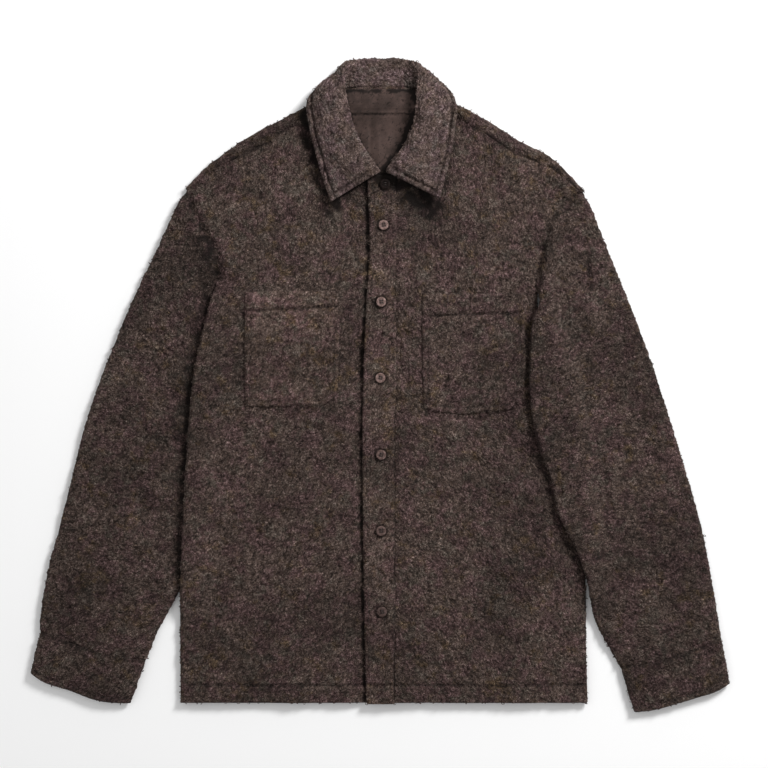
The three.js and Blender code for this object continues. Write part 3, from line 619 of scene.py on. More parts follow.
# A grid primitive shaped to a lattice of points, its meeting edges merged and its ends closed
def shapeGrid(name, lattice, lofts, material):
    rows, columns = lattice.shape[:2]
    bpy.ops.object.select_all(action="DESELECT")
    bpy.ops.mesh.primitive_grid_add(x_subdivisions=columns - 1, y_subdivisions=rows - 1, size=1)
    piece = bpy.context.object
    piece.name = name
    piece.data.name = name
    flat = np.empty(len(piece.data.vertices) * 3)
    piece.data.vertices.foreach_get("co", flat)
    flat = flat.reshape(-1, 3)
    column = np.rint((flat[:, 0] + 0.5) * (columns - 1)).astype(int)
    row = np.rint((flat[:, 1] + 0.5) * (rows - 1)).astype(int)
    placed = lattice[row, column] + drawing["shift"]
    placed[:, 2] = np.maximum(placed[:, 2], 0.02)
    piece.data.vertices.foreach_set("co", (placed / 1000).ravel())
    # the pile attribute also carries the painted shade where free lowered the pile value
    pile = piece.data.attributes.new("pile", "FLOAT", "POINT")
    pile.data.foreach_set("value", lofts[row, column].astype(np.float32))
    bpy.ops.object.mode_set(mode="EDIT")
    bpy.ops.mesh.select_all(action="SELECT")
    bpy.ops.mesh.remove_doubles(threshold=0.000001)
    bpy.ops.mesh.fill_holes(sides=0)
    bpy.ops.mesh.select_all(action="SELECT")
    bpy.ops.mesh.normals_make_consistent(inside=False)
    bpy.ops.object.mode_set(mode="OBJECT")
    bpy.ops.object.shade_smooth()
    piece.data.materials.clear()
    piece.data.materials.append(material)
    return piece


def finishCloth(piece, node):
    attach(piece, "root")
    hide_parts(node)
    print(piece.name, len(piece.data.polygons), "faces")


# The garment's plan, as in the CAD part

cloth = {"wall": 3.3, "collar": 4.4, "placket": 3.8, "lining": 1.0}
body = {"edge": 7.8, "height": 9.4, "swell": 38, "gap": 0.3, "clear": 0.9}
sleeve = {"height": 9.4, "tucked": 7.4, "wrist": 8.6, "cuff": 9.6, "length": 620}
cuff = {"deep": 52, "stitch": 4.5, "stitchWidth": 1.6, "extraWall": 0.6}
hem = {"y": -396, "left": -250, "right": 259}
placketX, underlap = 19, 24

plan = {
    "sideRight": [
        (-250, -396), (-250, -256), (-247, -181), (-243, -106), (-238, -32), (-231, 26),
        (-222, 65), (-212, 106), (-203, 134),
    ],
    "armholeRight": [(-203, 134), (-204, 156), (-209, 176), (-222, 195), (-232, 215), (-242, 248)],
    "sideLeft": [
        (259, -396), (257, -319), (257, -269), (254, -206), (249, -131), (241, -56),
        (226, 10), (210, 62), (197, 96), (196, 125),
    ],
    "armholeLeft": [(196, 125), (199, 146), (204, 171), (211, 196), (222, 221), (254, 244)],
    "shoulderRight": [(-242, 248), (-214, 276), (-172, 306), (-117, 336), (-69, 360)],
    "neckBack": [(-69, 360), (-44, 371), (2, 374), (44, 371), (76, 359)],
    "shoulderLeft": [(76, 359), (121, 338), (181, 301), (212, 286), (254, 244)],
    "neckRight": [(-66, 350), (-64, 325), (-56, 301), (-40, 281), (-18, 268), (24, 262)],
    "neckLeft": [(19.3, 263), (30, 268), (52, 282), (66, 302), (73, 326), (74, 348)],
    "placketEdge": [(-17, 261), (-14, 169), (-18, 106), (-22, 6), (-23, -56), (-21, -269), (-18, -397)],
}
wrapShares = (0, 0.12, 0.3, 0.5, 0.75, 0.9, 1)  # from the armhole to the neck
wrapWidths = (5.5, 9, 15, 18, 16, 11, 8)
collarTuck = {"reach": 94, "top": 352, "fade": 40, "lift": 5.6}

# Soft troughs and low ridges of the laid cloth
bodyCreases = [
    {"run": [(60, -300), (66, -340), (62, -376)], "width": 15, "depth": 1.1},
    {"run": [(34, -310), (38, -372)], "width": 12, "depth": -0.7},
    {"run": [(-206, -326), (-196, -378)], "width": 14, "depth": 1.1},
    {"run": [(150, -44), (172, -90), (186, -134)], "width": 20, "depth": 1.2},
    {"run": [(205, 70), (184, 20), (180, -40)], "width": 15, "depth": 0.9},
    {"run": [(-196, 110), (-176, 60), (-170, 10)], "width": 16, "depth": 0.9},
    {"run": [(-160, 240), (-110, 190), (-70, 150)], "width": 22, "depth": 0.7},
    {"run": [(150, 250), (110, 200), (80, 160)], "width": 22, "depth": 0.7},
    {"run": [(-120, -120), (-90, -200), (-80, -290)], "width": 26, "depth": 0.8},
    {"run": [(120, -170), (140, -250), (136, -330)], "width": 24, "depth": 0.8},
    {"run": [(-200, -120), (-206, -200)], "width": 14, "depth": -0.8},
]
rightArmhole = {"run": plan["armholeRight"], "width": 4.5, "depth": 3.0}
leftArmhole = {"run": plan["armholeLeft"], "width": 4.5, "depth": 2.8}
hemStitch = {
    "run": [(-262, -375), (-120, -376.5), (20, -375), (150, -376.5), (268, -375)], "depth": 1.5,
    "width": 1.9
}


# Painted shade on the body, carried by a lower pile value that also flattens the pile: along the seams, beside
# the placket's edge, the shadows under the collar's edges and beside the sleeve lying on top
shoulderSeams = {
    "right": [(-222, 262.5), (-199, 277), (-178, 284.5), (-160, 293.5), (-145, 301), (-117, 321), (-91, 341)],
    "left": [(96, 337.5), (121, 320.5), (151, 301), (181, 286), (211.5, 274), (229.5, 266), (242, 252.5)],
}
bodyShadeAndPress = [
    {"run": shoulderSeams["right"], "width": 2.6, "pressAndShade": 0.75},
    {"run": shoulderSeams["left"], "width": 2.6, "pressAndShade": 0.75},
    {"run": hemStitch["run"], "width": 2.0, "pressAndShade": 0.5},
    {"run": plan["armholeRight"], "width": 3.0, "pressAndShade": 0.55},
    {"run": plan["armholeLeft"], "width": 3.0, "pressAndShade": 0.5},
    {"run": [(6, 260), (24, 249), (42, 236), (56, 227), (64, 223)], "width": 15, "pressAndShade": 1.5},
    {"run": [(x - 1.2, y) for x, y in plan["placketEdge"]], "width": 3.6, "pressAndShade": 1.0},
    {"run": [(-8, 262), (-30, 250), (-58, 228)], "width": 8, "pressAndShade": 0.85},
    {"run": [(-61, 222), (-73, 262), (-87, 306), (-94, 340)], "width": 13, "pressAndShade": 1.05},
    {"run": [(92, 330), (90, 290), (80, 248)], "width": 4, "pressAndShade": 0.4},
    {"run": [(196, 96), (186, 40), (184, -10), (190, -56)], "width": 7, "pressAndShade": 0.3, "fade": True},
    {
        "run": [(192, -60), (204, -106), (216, -156), (240, -204), (252, -250)], "width": 10,
        "pressAndShade": 0.45, "fade": True
    },
]


def edgeX(points, y):
    p = np.array(points, float)
    return np.interp(y, p[:, 1], p[:, 0])


def bodyLift(x, y):
    reach, fade, top = collarTuck["reach"], collarTuck["fade"], collarTuck["top"]
    neck = collarTuck["lift"] * softStep(y, top - fade, top) * softStep(reach + fade - np.abs(x - 2), 0, fade)
    inside = x - edgeX(plan["sideRight"], y)
    beside = softStep(y, -296, -250) * (1 - softStep(y, 107, 131))
    return neck + (sleeve["tucked"] + body["clear"]) * beside * (1 - softStep(inside, 15, 48))


def sideRise(distance, y, top):
    rolled = 1 - softStep(y, top - 22, top - 2)
    radius = body["edge"] / 2
    rise = np.sqrt(np.clip(1 - (1 - np.minimum(distance / radius, 1)) ** 2, 0, 1))
    return rolled, 1 - rolled * (1 - rise)


def bodyHeights(x, y, fromRight, fromLeft):
    rolledRight, riseRight = sideRise(fromRight, y, 134)
    rolledLeft, riseLeft = sideRise(fromLeft, y, 125)
    near = np.minimum(fromRight, fromLeft)
    rolled = np.where(fromRight < fromLeft, rolledRight, rolledLeft)
    rise = np.minimum(riseRight, riseLeft)
    flat = body["height"] - rolled * (body["height"] - body["edge"]) * (1 - softStep(near, 4, body["swell"]))
    middle = body["edge"] / 2
    lift = bodyLift(x, y)
    under = lift + (1 - rise) * (middle - body["gap"] / 2)
    top = lift + middle + body["gap"] / 2 + (flat - middle - body["gap"] / 2) * rise
    return under, top


def line(x0, x1):
    return lambda share: np.stack([x0 + (x1 - x0) * share, np.full_like(share, hem["y"])], axis=-1)


def sideEdge(side, armhole, short):
    hole = curveThrough(armhole)
    reached = 1 - short / hole.length
    return chain([curveThrough(side), lambda share: hole(share * reached)], [0.8, 0.2])


shoulderCurves = {"right": curveThrough(plan["shoulderRight"]), "left": curveThrough(plan["shoulderLeft"])}
armholeCurves = {"right": curveThrough(plan["armholeRight"]), "left": curveThrough(plan["armholeLeft"])}


def foldInward(side, share):
    hole = armholeCurves[side]
    alongHole = unit(hole(np.array(0.96)) - hole(np.array(1.0)))
    lean = (0.55 - 0.35 * softStep(share, 0.85, 1)) * (1 if side == "right" else -1)
    square = unit(np.stack([lean, -np.ones_like(lean)], axis=-1))
    mix = softStep(share, 0, 0.16)[..., None]
    return unit(alongHole * (1 - mix) + square * mix)


def shoulderSeam(side, share, extra=0.0):
    share = np.asarray(share, float)
    onFold = shoulderCurves[side](share if side == "right" else 1 - share)
    width = np.interp(share, wrapShares, wrapWidths) + extra
    return onFold + foldInward(side, share) * width[..., None]


# Columns that follow a rolled edge: equal steps along the roll, then across the flat
def rolledShares(count, width, radius):
    arc = math.pi * radius / 2
    along = np.linspace(0, 1, count)[None, :] * (width[:, None] - radius + arc)
    rolled = radius * (1 - np.cos(np.minimum(along, arc) / radius))
    return np.where(along < arc, rolled, radius + along - arc) / width[:, None]


def neckRise(y):
    return 1.4 * softStep(y, 215, 246)


# Front panels

frontRight = {
    "columns": 156, "rows": 380, "top": (0.78, 0.22),
    "pile": {"height": 1.0, "shift": 0.0}, "flat": (0.30, 0.74), "area": 0.165,
}
frontLeft = {
    "columns": 144, "rows": 380, "top": (0.85, 0.15),
    "pile": {"height": 1.0, "shift": 0.0}, "flat": (0.27, 0.74), "area": 0.150,
}


frontTop = 0.79  # the rows below lie level


def frontSurface(points, fromRight, fromLeft, extra):
    x, y = points[..., 0], points[..., 1]
    _, top = bodyHeights(x, y, fromRight, fromLeft)
    z = top + extra(x, y) + creaseHeight(x, y, bodyCreases) + swellAt(x, y)
    z += grooveHeight(x, y, [hemStitch, rightArmhole, leftArmhole])
    return np.concatenate([points, z[..., None]], axis=-1)


def makeFrontRight():
    rows = np.linspace(0, 1, frontRight["rows"])
    side = sideEdge(plan["sideRight"], plan["armholeRight"], wrapWidths[0] + 1.2)
    neck = curveThrough(plan["neckRight"])
    top = chain([lambda share: shoulderSeam("right", share, 0.8), neck], frontRight["top"])
    inner = curveThrough([(underlap, hem["y"]), (underlap, 0), (underlap, 262)])
    width = np.linalg.norm(side(rows) - inner(rows), axis=-1)
    shares = rolledShares(frontRight["columns"], width, body["edge"] / 2)
    points = patch(side, inner, line(hem["left"], underlap), top, shares, rows, frontTop)
    drop = lambda x, y: (neckRise(y) - 2.4) * softStep(x, -62, -28)
    surface = frontSurface(points, shares * width[:, None], np.full(shares.shape, 1000.0), drop)
    free = shadeAndPressAt(surface[..., 0], surface[..., 1], bodyShadeAndPress)
    lattice, lofts = sheetLattice(surface, cloth["wall"], 14, frontRight["pile"] | {"free": free})
    return shapeGrid("frontRightCloth", lattice, lofts, wool)


def makeFrontLeft():
    rows = np.linspace(0, 1, frontLeft["rows"])
    side = sideEdge(plan["sideLeft"], plan["armholeLeft"], wrapWidths[0] + 1.2)
    neck = curveThrough(plan["neckLeft"])
    inner = curveThrough([(placketX, hem["y"]), (placketX, 0), (placketX, 263)])
    # drawn from the side seam inwards, so that the roll is at column 0
    top = chain(
        [lambda share: shoulderSeam("left", share, 0.8), lambda share: neck(1 - share)], frontLeft["top"]
    )
    width = np.linalg.norm(side(rows) - inner(rows), axis=-1)
    shares = rolledShares(frontLeft["columns"], width, body["edge"] / 2)
    points = patch(side, inner, line(hem["right"], placketX), top, shares, rows, frontTop)
    rise = lambda x, y: (1.4 + neckRise(y)) * (1 - softStep(x, 26, 58)) - 1.2 * (1 - softStep(x, 19, 24))
    surface = frontSurface(points, np.full(shares.shape, 1000.0), shares * width[:, None], rise)
    free = shadeAndPressAt(surface[..., 0], surface[..., 1], bodyShadeAndPress)
    lattice, lofts = sheetLattice(surface, cloth["wall"], 14, frontLeft["pile"] | {"free": free}, flip=-1)
    return shapeGrid("frontLeftCloth", lattice, lofts, wool)


frontRightCloth = makeFrontRight()
finishCloth(frontRightCloth, "front_right")
frontLeftCloth = makeFrontLeft()
finishCloth(frontLeftCloth, "front_left")


# Back: flat on the surface, curled up at the sides and wrapped forward over both shoulders

back = {
    "columns": 124, "rows": 180, "turns": 9, "strip": 9, "top": (0.36, 0.27, 0.37),
    "pile": {"height": 1.0, "shift": 19.0}, "flat": (0.54, 0.81), "area": 0.41,
}


def makeBack():
    first, _, last = back["top"]
    radius = body["height"] / 2
    neck = curveThrough(plan["neckBack"])
    foldAt = chain([shoulderCurves["right"], neck, shoulderCurves["left"]], back["top"])

    def place(u):
        onRight, onLeft = u <= first, u >= 1 - last
        onShoulder = onRight | onLeft
        share = np.where(onRight, u / first, np.where(onLeft, (1 - u) / last, 1.0))
        corner = np.minimum(u - first, 1 - last - u)
        wrapped = np.where(onShoulder, 1.0, 1 - softStep(corner, 0, 0.045))
        sides = np.where((u < 0.5)[..., None], foldInward("right", share), foldInward("left", share))
        mix = np.where(onShoulder, 0.0, softStep(corner, 0, 0.06))[..., None]
        inward = unit(sides * (1 - mix) + np.array([0.0, -1.0]) * mix)
        width = wrapped * np.where(onShoulder, np.interp(share, wrapShares, wrapWidths), 8.0)
        return foldAt(u), inward, wrapped, width

    def topEdge(u):
        fold, inward, _, _ = place(u)
        return fold + inward * radius

    rows = np.linspace(0, 1, back["rows"])
    right = sideEdge(plan["sideRight"], plan["armholeRight"], radius)
    left = sideEdge(plan["sideLeft"], plan["armholeLeft"], radius)
    width = np.linalg.norm(left(rows) - right(rows), axis=-1)
    half = back["columns"] // 2
    near = rolledShares(half, width / 2, body["edge"] / 2) / 2
    shares = np.concatenate([near, 1 - near[:, ::-1]], axis=1)
    points = patch(right, left, line(hem["left"], hem["right"]), topEdge, shares, rows)
    across = shares * width[:, None]
    under, _ = bodyHeights(points[..., 0], points[..., 1], across, width[:, None] - across)
    outer = [np.concatenate([points, under[..., None]], axis=-1)]
    u = shares[-1]
    fold, inward, wrapped, reach = place(u)
    lift = bodyLift(fold[:, 0], fold[:, 1])
    spot = lambda inset, z: np.concatenate([fold + inward * inset[:, None], z[:, None]], axis=-1)[None]
    for k in range(1, back["turns"] + 1):
        turn = math.radians(-90 + 180 * k / back["turns"])
        inset = radius - radius * (wrapped * math.cos(turn) + (1 - wrapped) * k / back["turns"])
        outer.append(spot(inset, lift + wrapped * radius * (1 + math.sin(turn))))
    far = np.where(wrapped > 0, np.maximum(reach + 0.4, radius * wrapped + 0.4), -0.6)
    inset = radius * wrapped
    for k in range(1, back["strip"] + 1):
        share = k / back["strip"]
        out = inset + (far - inset) * share
        outer.append(spot(out, lift + wrapped * (2 * radius - 1.3 * softStep(out - far, -4, 0))))
    outer = np.concatenate(outer)
    outer[..., 2] += (
        grooveHeight(outer[..., 0], outer[..., 1], [rightArmhole, leftArmhole])
        * softStep(outer[..., 2], 6, 9)
    )
    mask = np.ones(outer.shape[:2])
    mask[len(rows):] = wrapped
    free = 1 - (1 - shadeAndPressAt(outer[..., 0], outer[..., 1], bodyShadeAndPress)) * softStep(outer[..., 2], 6, 9)
    lattice, lofts = sheetLattice(
        outer, cloth["wall"], 16, back["pile"] | {"mask": mask, "free": free}, flip=-1
    )
    return shapeGrid("backCloth", lattice, lofts, wool)


backCloth = makeBack()
finishCloth(backCloth, "back")


# Placket: the folded band down the wearer's left front edge

placket = {
    "columns": 28, "rows": 396, "rest": 7.6,
    "pile": {"height": 0.9, "shift": 7.0}, "flat": (0.046, 0.67), "area": 0.029,
}


def makePlacket():
    rows = np.linspace(1, 0, placket["rows"])  # from the hem up
    start = curveThrough(plan["placketEdge"])(rows)
    u = np.linspace(0, 1, placket["columns"])[None, :]
    x = (start[:, :1] + cloth["placket"] / 2) * (1 - u) + (placketX - 0.8) * u
    y = start[:, 1:2] * np.ones_like(u)
    fromEdge, fromSeam = x - start[:, :1], placketX - x
    z = placket["rest"] + cloth["placket"] + neckRise(y) + swellAt(0 * y, y) * 0.8
    z = (
        z - 0.8 * np.exp(-(fromEdge / 3.2) ** 2)
        - (2.2 - 1.3 * softStep(y, -60, 0)) * np.exp(-(fromSeam / 2.6) ** 2)
    )
    z += creaseHeight(x, y, bodyCreases) * 0.5 + grooveHeight(x, y, [hemStitch])
    for spotX, spotY in buttonPlaces:  # pulled down a little round each button
        z -= 0.7 * np.exp(-((x - spotX) ** 2 + (y - spotY) ** 2) / 90)
        z -= (
            1.1 * np.exp(-((y - spotY) / 0.9) ** 2) * softStep(x, spotX + 2, spotX + 4)
            * (1 - softStep(x, spotX + 14, spotX + 16))
        )
    surface = np.stack([x, y, z], axis=-1)
    free = shadeAndPressAt(x, y, placketShadeAndPress)
    # painted shade along the seam near the hem, and a painted shadow to the lower left of each button
    free = free * (1 - 0.45 * (1 - softStep(y, -60, 0)) * np.exp(-(fromSeam / 2.2) ** 2))
    for spotX, spotY in buttonPlaces:
        free *= 1 - 0.85 * np.exp(-((np.hypot(x - spotX + 0.7, y - spotY + 0.7) - 7.2) / 1.9) ** 2)
    lattice, lofts = sheetLattice(surface, cloth["placket"], 4, placket["pile"] | {"free": free})
    return shapeGrid("placketCloth", lattice, lofts, woolPlacketLit)


# Painted shade on the placket: along the hem stitch and the collar leaf's shadow
placketShadeAndPress = [
    {"run": hemStitch["run"], "width": 2.0, "pressAndShade": 0.5},
    {"run": [(0, 258), (14, 256), (30, 248)], "width": 14, "pressAndShade": 1.2},
]
buttonPlaces = [(6, 251), (4, 200), (1, 104), (0, 9), (1, -87), (1, -182), (2, -283)]
placketCloth = makePlacket()
finishCloth(placketCloth, "placket")


# Sleeves and cuffs: flattened tubes

sleeves = {
    "right": {
        "armhole": "armholeRight", "over": False, "tuck": (2.2, -0.4), "flip": 1,
        "outer": [
            (-242, 248), (-252, 231), (-279, 171), (-301, 126), (-327, 66), (-351, 6), (-371, -54),
            (-386, -114), (-401, -174), (-417, -234), (-426, -294), (-426, -310),
        ],
        "inner": [
            (-203, 134), (-210, 112), (-212, 92), (-210, 62), (-216, 26), (-226, -32), (-229, -106),
            (-234, -181), (-246, -238), (-251, -256), (-263, -279), (-279, -309), (-294, -345),
        ],
        "seam": [(-294, -345.5), (-336, -341), (-368, -331), (-400, -320), (-426, -310)],
        "hem": [(-312, -397), (-342, -395), (-361, -391), (-387, -381), (-419, -371), (-438, -359)],
        "creases": [
            {"run": [(-251, 169), (-276, 44), (-294, -81), (-301, -194)], "width": 18, "depth": 1.6},
            {"run": [(-222, 150), (-240, 60), (-250, -40)], "width": 12, "depth": -0.8},
            {"run": [(-236, -120), (-262, -150), (-300, -160)], "width": 9, "depth": 0.9},
            {"run": [(-232, -60), (-256, -84), (-286, -92)], "width": 8, "depth": 0.7},
            {"run": [(-330, 20), (-322, -30), (-340, -90)], "width": 10, "depth": 0.7},
            {"run": [(-400, -190), (-372, -214), (-352, -250)], "width": 10, "depth": 0.8},
            {"run": [(-300, -322), (-340, -318), (-380, -300)], "width": 7, "depth": 0.8},
            {"run": [(-270, -240), (-300, -262), (-340, -268)], "width": 8, "depth": 0.7},
        ],
    },
    "left": {
        "armhole": "armholeLeft", "over": True, "tuck": (-2.2, -0.4), "flip": -1,
        "outer": [
            (254, 244), (263, 224), (278, 186), (302, 126), (326, 66), (347, 6), (366, -54),
            (384, -114), (401, -174), (413, -234), (423, -294), (427, -319),
        ],
        "inner": [
            (196, 125), (199, 109), (199, 99), (191, 82), (187, 50), (186, -4), (191, -50),
            (201, -88), (211, -112), (221, -159), (242, -201), (256, -240), (262, -269),
            (269, -296), (281, -319), (301, -354),
        ],
        "seam": [(301, -354.5), (334, -350), (364, -342), (397, -331), (427, -319.5)],
        "hem": [(317, -408), (341, -405), (364, -399), (397, -389), (419, -382), (437, -372)],
        "creases": [
            {"run": [(274, 106), (322, -81), (318, -219)], "width": 19, "depth": 1.5},
            {"run": [(257, 182), (264, 112)], "width": 6, "depth": 1.2},
            {"run": [(222, 60), (268, 30), (324, -19)], "width": 9, "depth": 1.0},
            {"run": [(206, 0), (250, -16), (290, -60)], "width": 8, "depth": 0.8},
            {"run": [(337, -169), (372, -186), (399, -219)], "width": 9, "depth": 0.9},
            {"run": [(369, -284), (409, -275)], "width": 5, "depth": 0.8},
            {"run": [(232, -150), (266, -180), (300, -186)], "width": 9, "depth": 0.8},
            {"run": [(290, -300), (330, -318), (372, -312)], "width": 8, "depth": 0.8},
            {"run": [(300, 100), (330, 20), (352, -60)], "width": 10, "depth": -0.7},
        ],
    },
}
# Painted shade on the sleeves: the shadow cast by the body's raised edge on the sleeve beneath it, and darker
# seams and creases
sleeveShadeAndPress = {
    "right": [
        {
            "run": [(-238, 206), (-224, 166), (-218, 120), (-230, 60), (-242, 10), (-252, -60)],
            "width": 24, "pressAndShade": 0.3
        },
        {
            "run": [(-222, 190), (-208, 150), (-204, 134), (-213, 106), (-223, 65), (-232, 26), (-240, -32)],
            "width": 12, "pressAndShade": 0.72
        },
        {
            "run": [(-240, -32), (-245, -106), (-249, -181), (-252, -256)], "width": 9, "pressAndShade": 0.75,
            "fade": True
        },
        {"run": [(-244, 240), (-232, 215), (-222, 195)], "width": 4, "pressAndShade": 0.75},
        {"run": sleeves["right"]["seam"], "width": 2.4, "pressAndShade": 0.5},
    ],
    "left": [
        {"run": plan["armholeLeft"], "width": 3, "pressAndShade": 0.5},
        {"run": [(257, 182), (264, 112)], "width": 4, "pressAndShade": 0.7, "fade": True},
        {"run": sleeves["left"]["seam"], "width": 2.4, "pressAndShade": 0.5},
    ],
}
tubeCounts = {"top": 84, "bottom": 28, "rows": 330, "inside": 24, "cuffRows": 34}


# Distances across a flattened tube and how far up (1) or down (-1) each column lies
def tubeColumns(width, radius, top, bottom):
    arc = math.pi * radius / 2

    def half(count, sign):
        along = np.linspace(0, 1, count)[None, :] * (width[:, None] - 2 * radius + 2 * arc)
        back = width[:, None] - 2 * radius + 2 * arc - along
        near = np.minimum(along, back)
        roll = np.minimum(near, arc) / radius
        distance = np.where(near < arc, radius * (1 - np.cos(roll)), radius + near - arc)
        distance = np.where(along <= back, distance, width[:, None] - distance)
        return distance, sign * np.sin(roll)

    over, overUp = half(top, 1)
    under, underUp = half(bottom, -1)
    distance = np.concatenate([over, under[:, ::-1][:, 1:]], axis=1)
    return distance, np.concatenate([overUp, underUp[:, ::-1][:, 1:]], axis=1)


def overLift(x, y, v):
    outside = x - edgeX(plan["sideLeft"], y)
    risen = softStep(v, 0, 0.045) * softStep(y, -300, -262)
    return (body["height"] + body["clear"]) * risen * (1 - softStep(outside, 3, 34))


def bow(curve, s):
    return curve(s) - (curve(np.array(0.0)) * (1 - s[..., None]) + curve(np.array(1.0)) * s[..., None])


def makeSleeve(side):
    shape = sleeves[side]
    hole, outside, inside, seam = (
        curveThrough(run) for run in (plan[shape["armhole"]], shape["outer"], shape["inner"], shape["seam"])
    )
    rows = np.linspace(0, 1, tubeCounts["rows"])
    width = np.linalg.norm(outside(rows) - inside(rows), axis=-1)
    distance, up = tubeColumns(width, sleeve["height"] / 2, tubeCounts["top"], tubeCounts["bottom"])
    s = distance / width[:, None]
    v = rows[:, None] * np.ones_like(s)
    points = inside(v) * (1 - s[..., None]) + outside(v) * s[..., None]
    points += (
        bow(hole, s) * (1 - softStep(v, 0, 0.3))[..., None]
        + bow(seam, s) * softStep(v, 0.75, 1)[..., None]
    )
    points += (
        np.array(shape["tuck"]) * (1 - softStep(v, 0, 0.05))[..., None]
        + np.array([0, -0.8]) * v[..., None]
    )
    x, y = points[..., 0], points[..., 1]
    full = sleeve["height"] + (sleeve["wrist"] - sleeve["height"]) * v
    inward = softStep(v, 0, 0.05) * (0.5 if shape["over"] else 1.0)
    tall = full + (sleeve["tucked"] - full) * inward * (1 - softStep(s, 0.1, 0.4))
    base = overLift(x, y, v) if shape["over"] else np.zeros_like(x)
    z = base + tall / 2 * (1 + up)
    onTop = np.clip(up, 0, 1)
    crown = 1.6 * np.sin(np.pi * s) ** 1.5 * softStep(v, 0.02, 0.2) * (1 - softStep(v, 0.93, 1))
    holeRun = {"run": plan[shape["armhole"]], "width": 4.5, "depth": 2.8}
    relief = creaseHeight(x, y, shape["creases"]) + swellAt(x, y) + grooveHeight(x, y, [holeRun]) + crown
    relief -= 1.2 * np.exp(-((1 - v) * sleeve["length"] / 3) ** 2)
    z += relief * onTop
    free = shadeAndPressAt(x, y, sleeveShadeAndPress[side])
    lattice, lofts = tubeLattice(np.stack([x, y, z], axis=-1), cloth["wall"], tubeCounts["inside"],
                                 {"height": 1.0, "shift": 0.0, "free": free}, flip=shape["flip"])
    return shapeGrid(side + "SleeveCloth", lattice, lofts, woolSleeveShaded)


def makeCuff(side):
    shape = sleeves[side]
    top, bottom = curveThrough(shape["seam"]), curveThrough(shape["hem"])
    rows = np.linspace(0, 1, tubeCounts["cuffRows"])
    ends = np.array([0.0, 1.0])
    width = (
        np.linalg.norm((top(ends) - top(ends)[::-1])[0]) * (1 - rows)
        + np.linalg.norm((bottom(ends) - bottom(ends)[::-1])[0]) * rows
    )
    distance, up = tubeColumns(width, sleeve["cuff"] / 2, tubeCounts["top"], tubeCounts["bottom"])
    s = distance / width[:, None]
    v = rows[:, None] * np.ones_like(s)
    points = top(s) * (1 - v[..., None]) + bottom(s) * v[..., None]
    x, y = points[..., 0], points[..., 1]
    z = sleeve["cuff"] / 2 * (1 + up)
    onTop = np.clip(up, 0, 1)
    deep = cuff["deep"] * (1 - v)
    relief = (
        0.5 * swellAt(x, y) - 1.3 * np.exp(-((deep - cuff["stitch"]) / cuff["stitchWidth"]) ** 2)
        - 0.9 * np.exp(-(cuff["deep"] * v / 2.5) ** 2)
    )
    relief += creaseHeight(x, y, cuffCreases) + 0.6 * np.sin(np.pi * s)
    z += relief * onTop
    z += 0.5 * np.exp(-(deep / 3.0) ** 2) * -up
    # painted shade in the stitched groove and along the cuff's edge
    free = (
        1 - 0.25 * np.exp(-((deep - cuff["stitch"]) / cuff["stitchWidth"]) ** 2)
        - 0.55 * np.exp(-(cuff["deep"] * v / 2.4) ** 2)
    )
    lattice, lofts = tubeLattice(np.stack([x, y, z], axis=-1), cloth["wall"] + cuff["extraWall"], 6,
                                 {"height": 0.9, "shift": 0.0, "free": free}, flip=shape["flip"])
    return shapeGrid(side + "CuffCloth", lattice, lofts, woolCuffShaded)


cuffCreases = [
    {"run": [(330, -365), (372, -356), (420, -343)], "width": 8, "depth": 1.0},
    {"run": [(-330, -372), (-380, -358)], "width": 9, "depth": 0.7},
]
for side in ("right", "left"):
    finishCloth(makeSleeve(side), "sleeve_" + side)
    finishCloth(makeCuff(side), "cuff_" + side)


# Pockets

pockets = {
    "right": {
        "left": [(-168.5, -22), (-169, 40), (-168.5, 115)], "right": [(-54.5, -9), (-52.5, 60), (-52.5, 116)],
        "bottom": [(-168.5, -22), (-163, -25), (-110, -24.5), (-72, -23.5), (-62, -17), (-54.5, -9)],
        "top": [(-168.5, 115), (-110, 116.5), (-52.5, 116)],
        "hemStitch": [(-168, 92.5), (-100, 95), (-52, 98.5)],
        "base": 9.4, "sunk": 1.5,
    },
    "left": {
        "left": [(55, -27.5), (53.5, 40), (53.5, 113.5)],
        "right": [(170.5, -20), (179.5, 5), (179.5, 67), (178.5, 113.5)],
        "bottom": [
            (55, -27.5), (60, -29.5), (95, -34.5), (120, -33.5), (149, -30.7), (165, -28), (170.5, -20)
        ],
        "top": [(53.5, 113.5), (110, 113), (178.5, 113.5)], "hemStitch": [(53, 86), (110, 88), (180, 90)],
        "base": 9.4, "sunk": 1.2,
    },
}
pocketGrid = {
    "columns": 80, "rows": 90, "stitch": 5.4, "stitchWidth": 1.6,
    "pile": {"height": 1.0, "shift": 11.0}, "flat": (0.143, 0.178), "area": 0.0235,
}


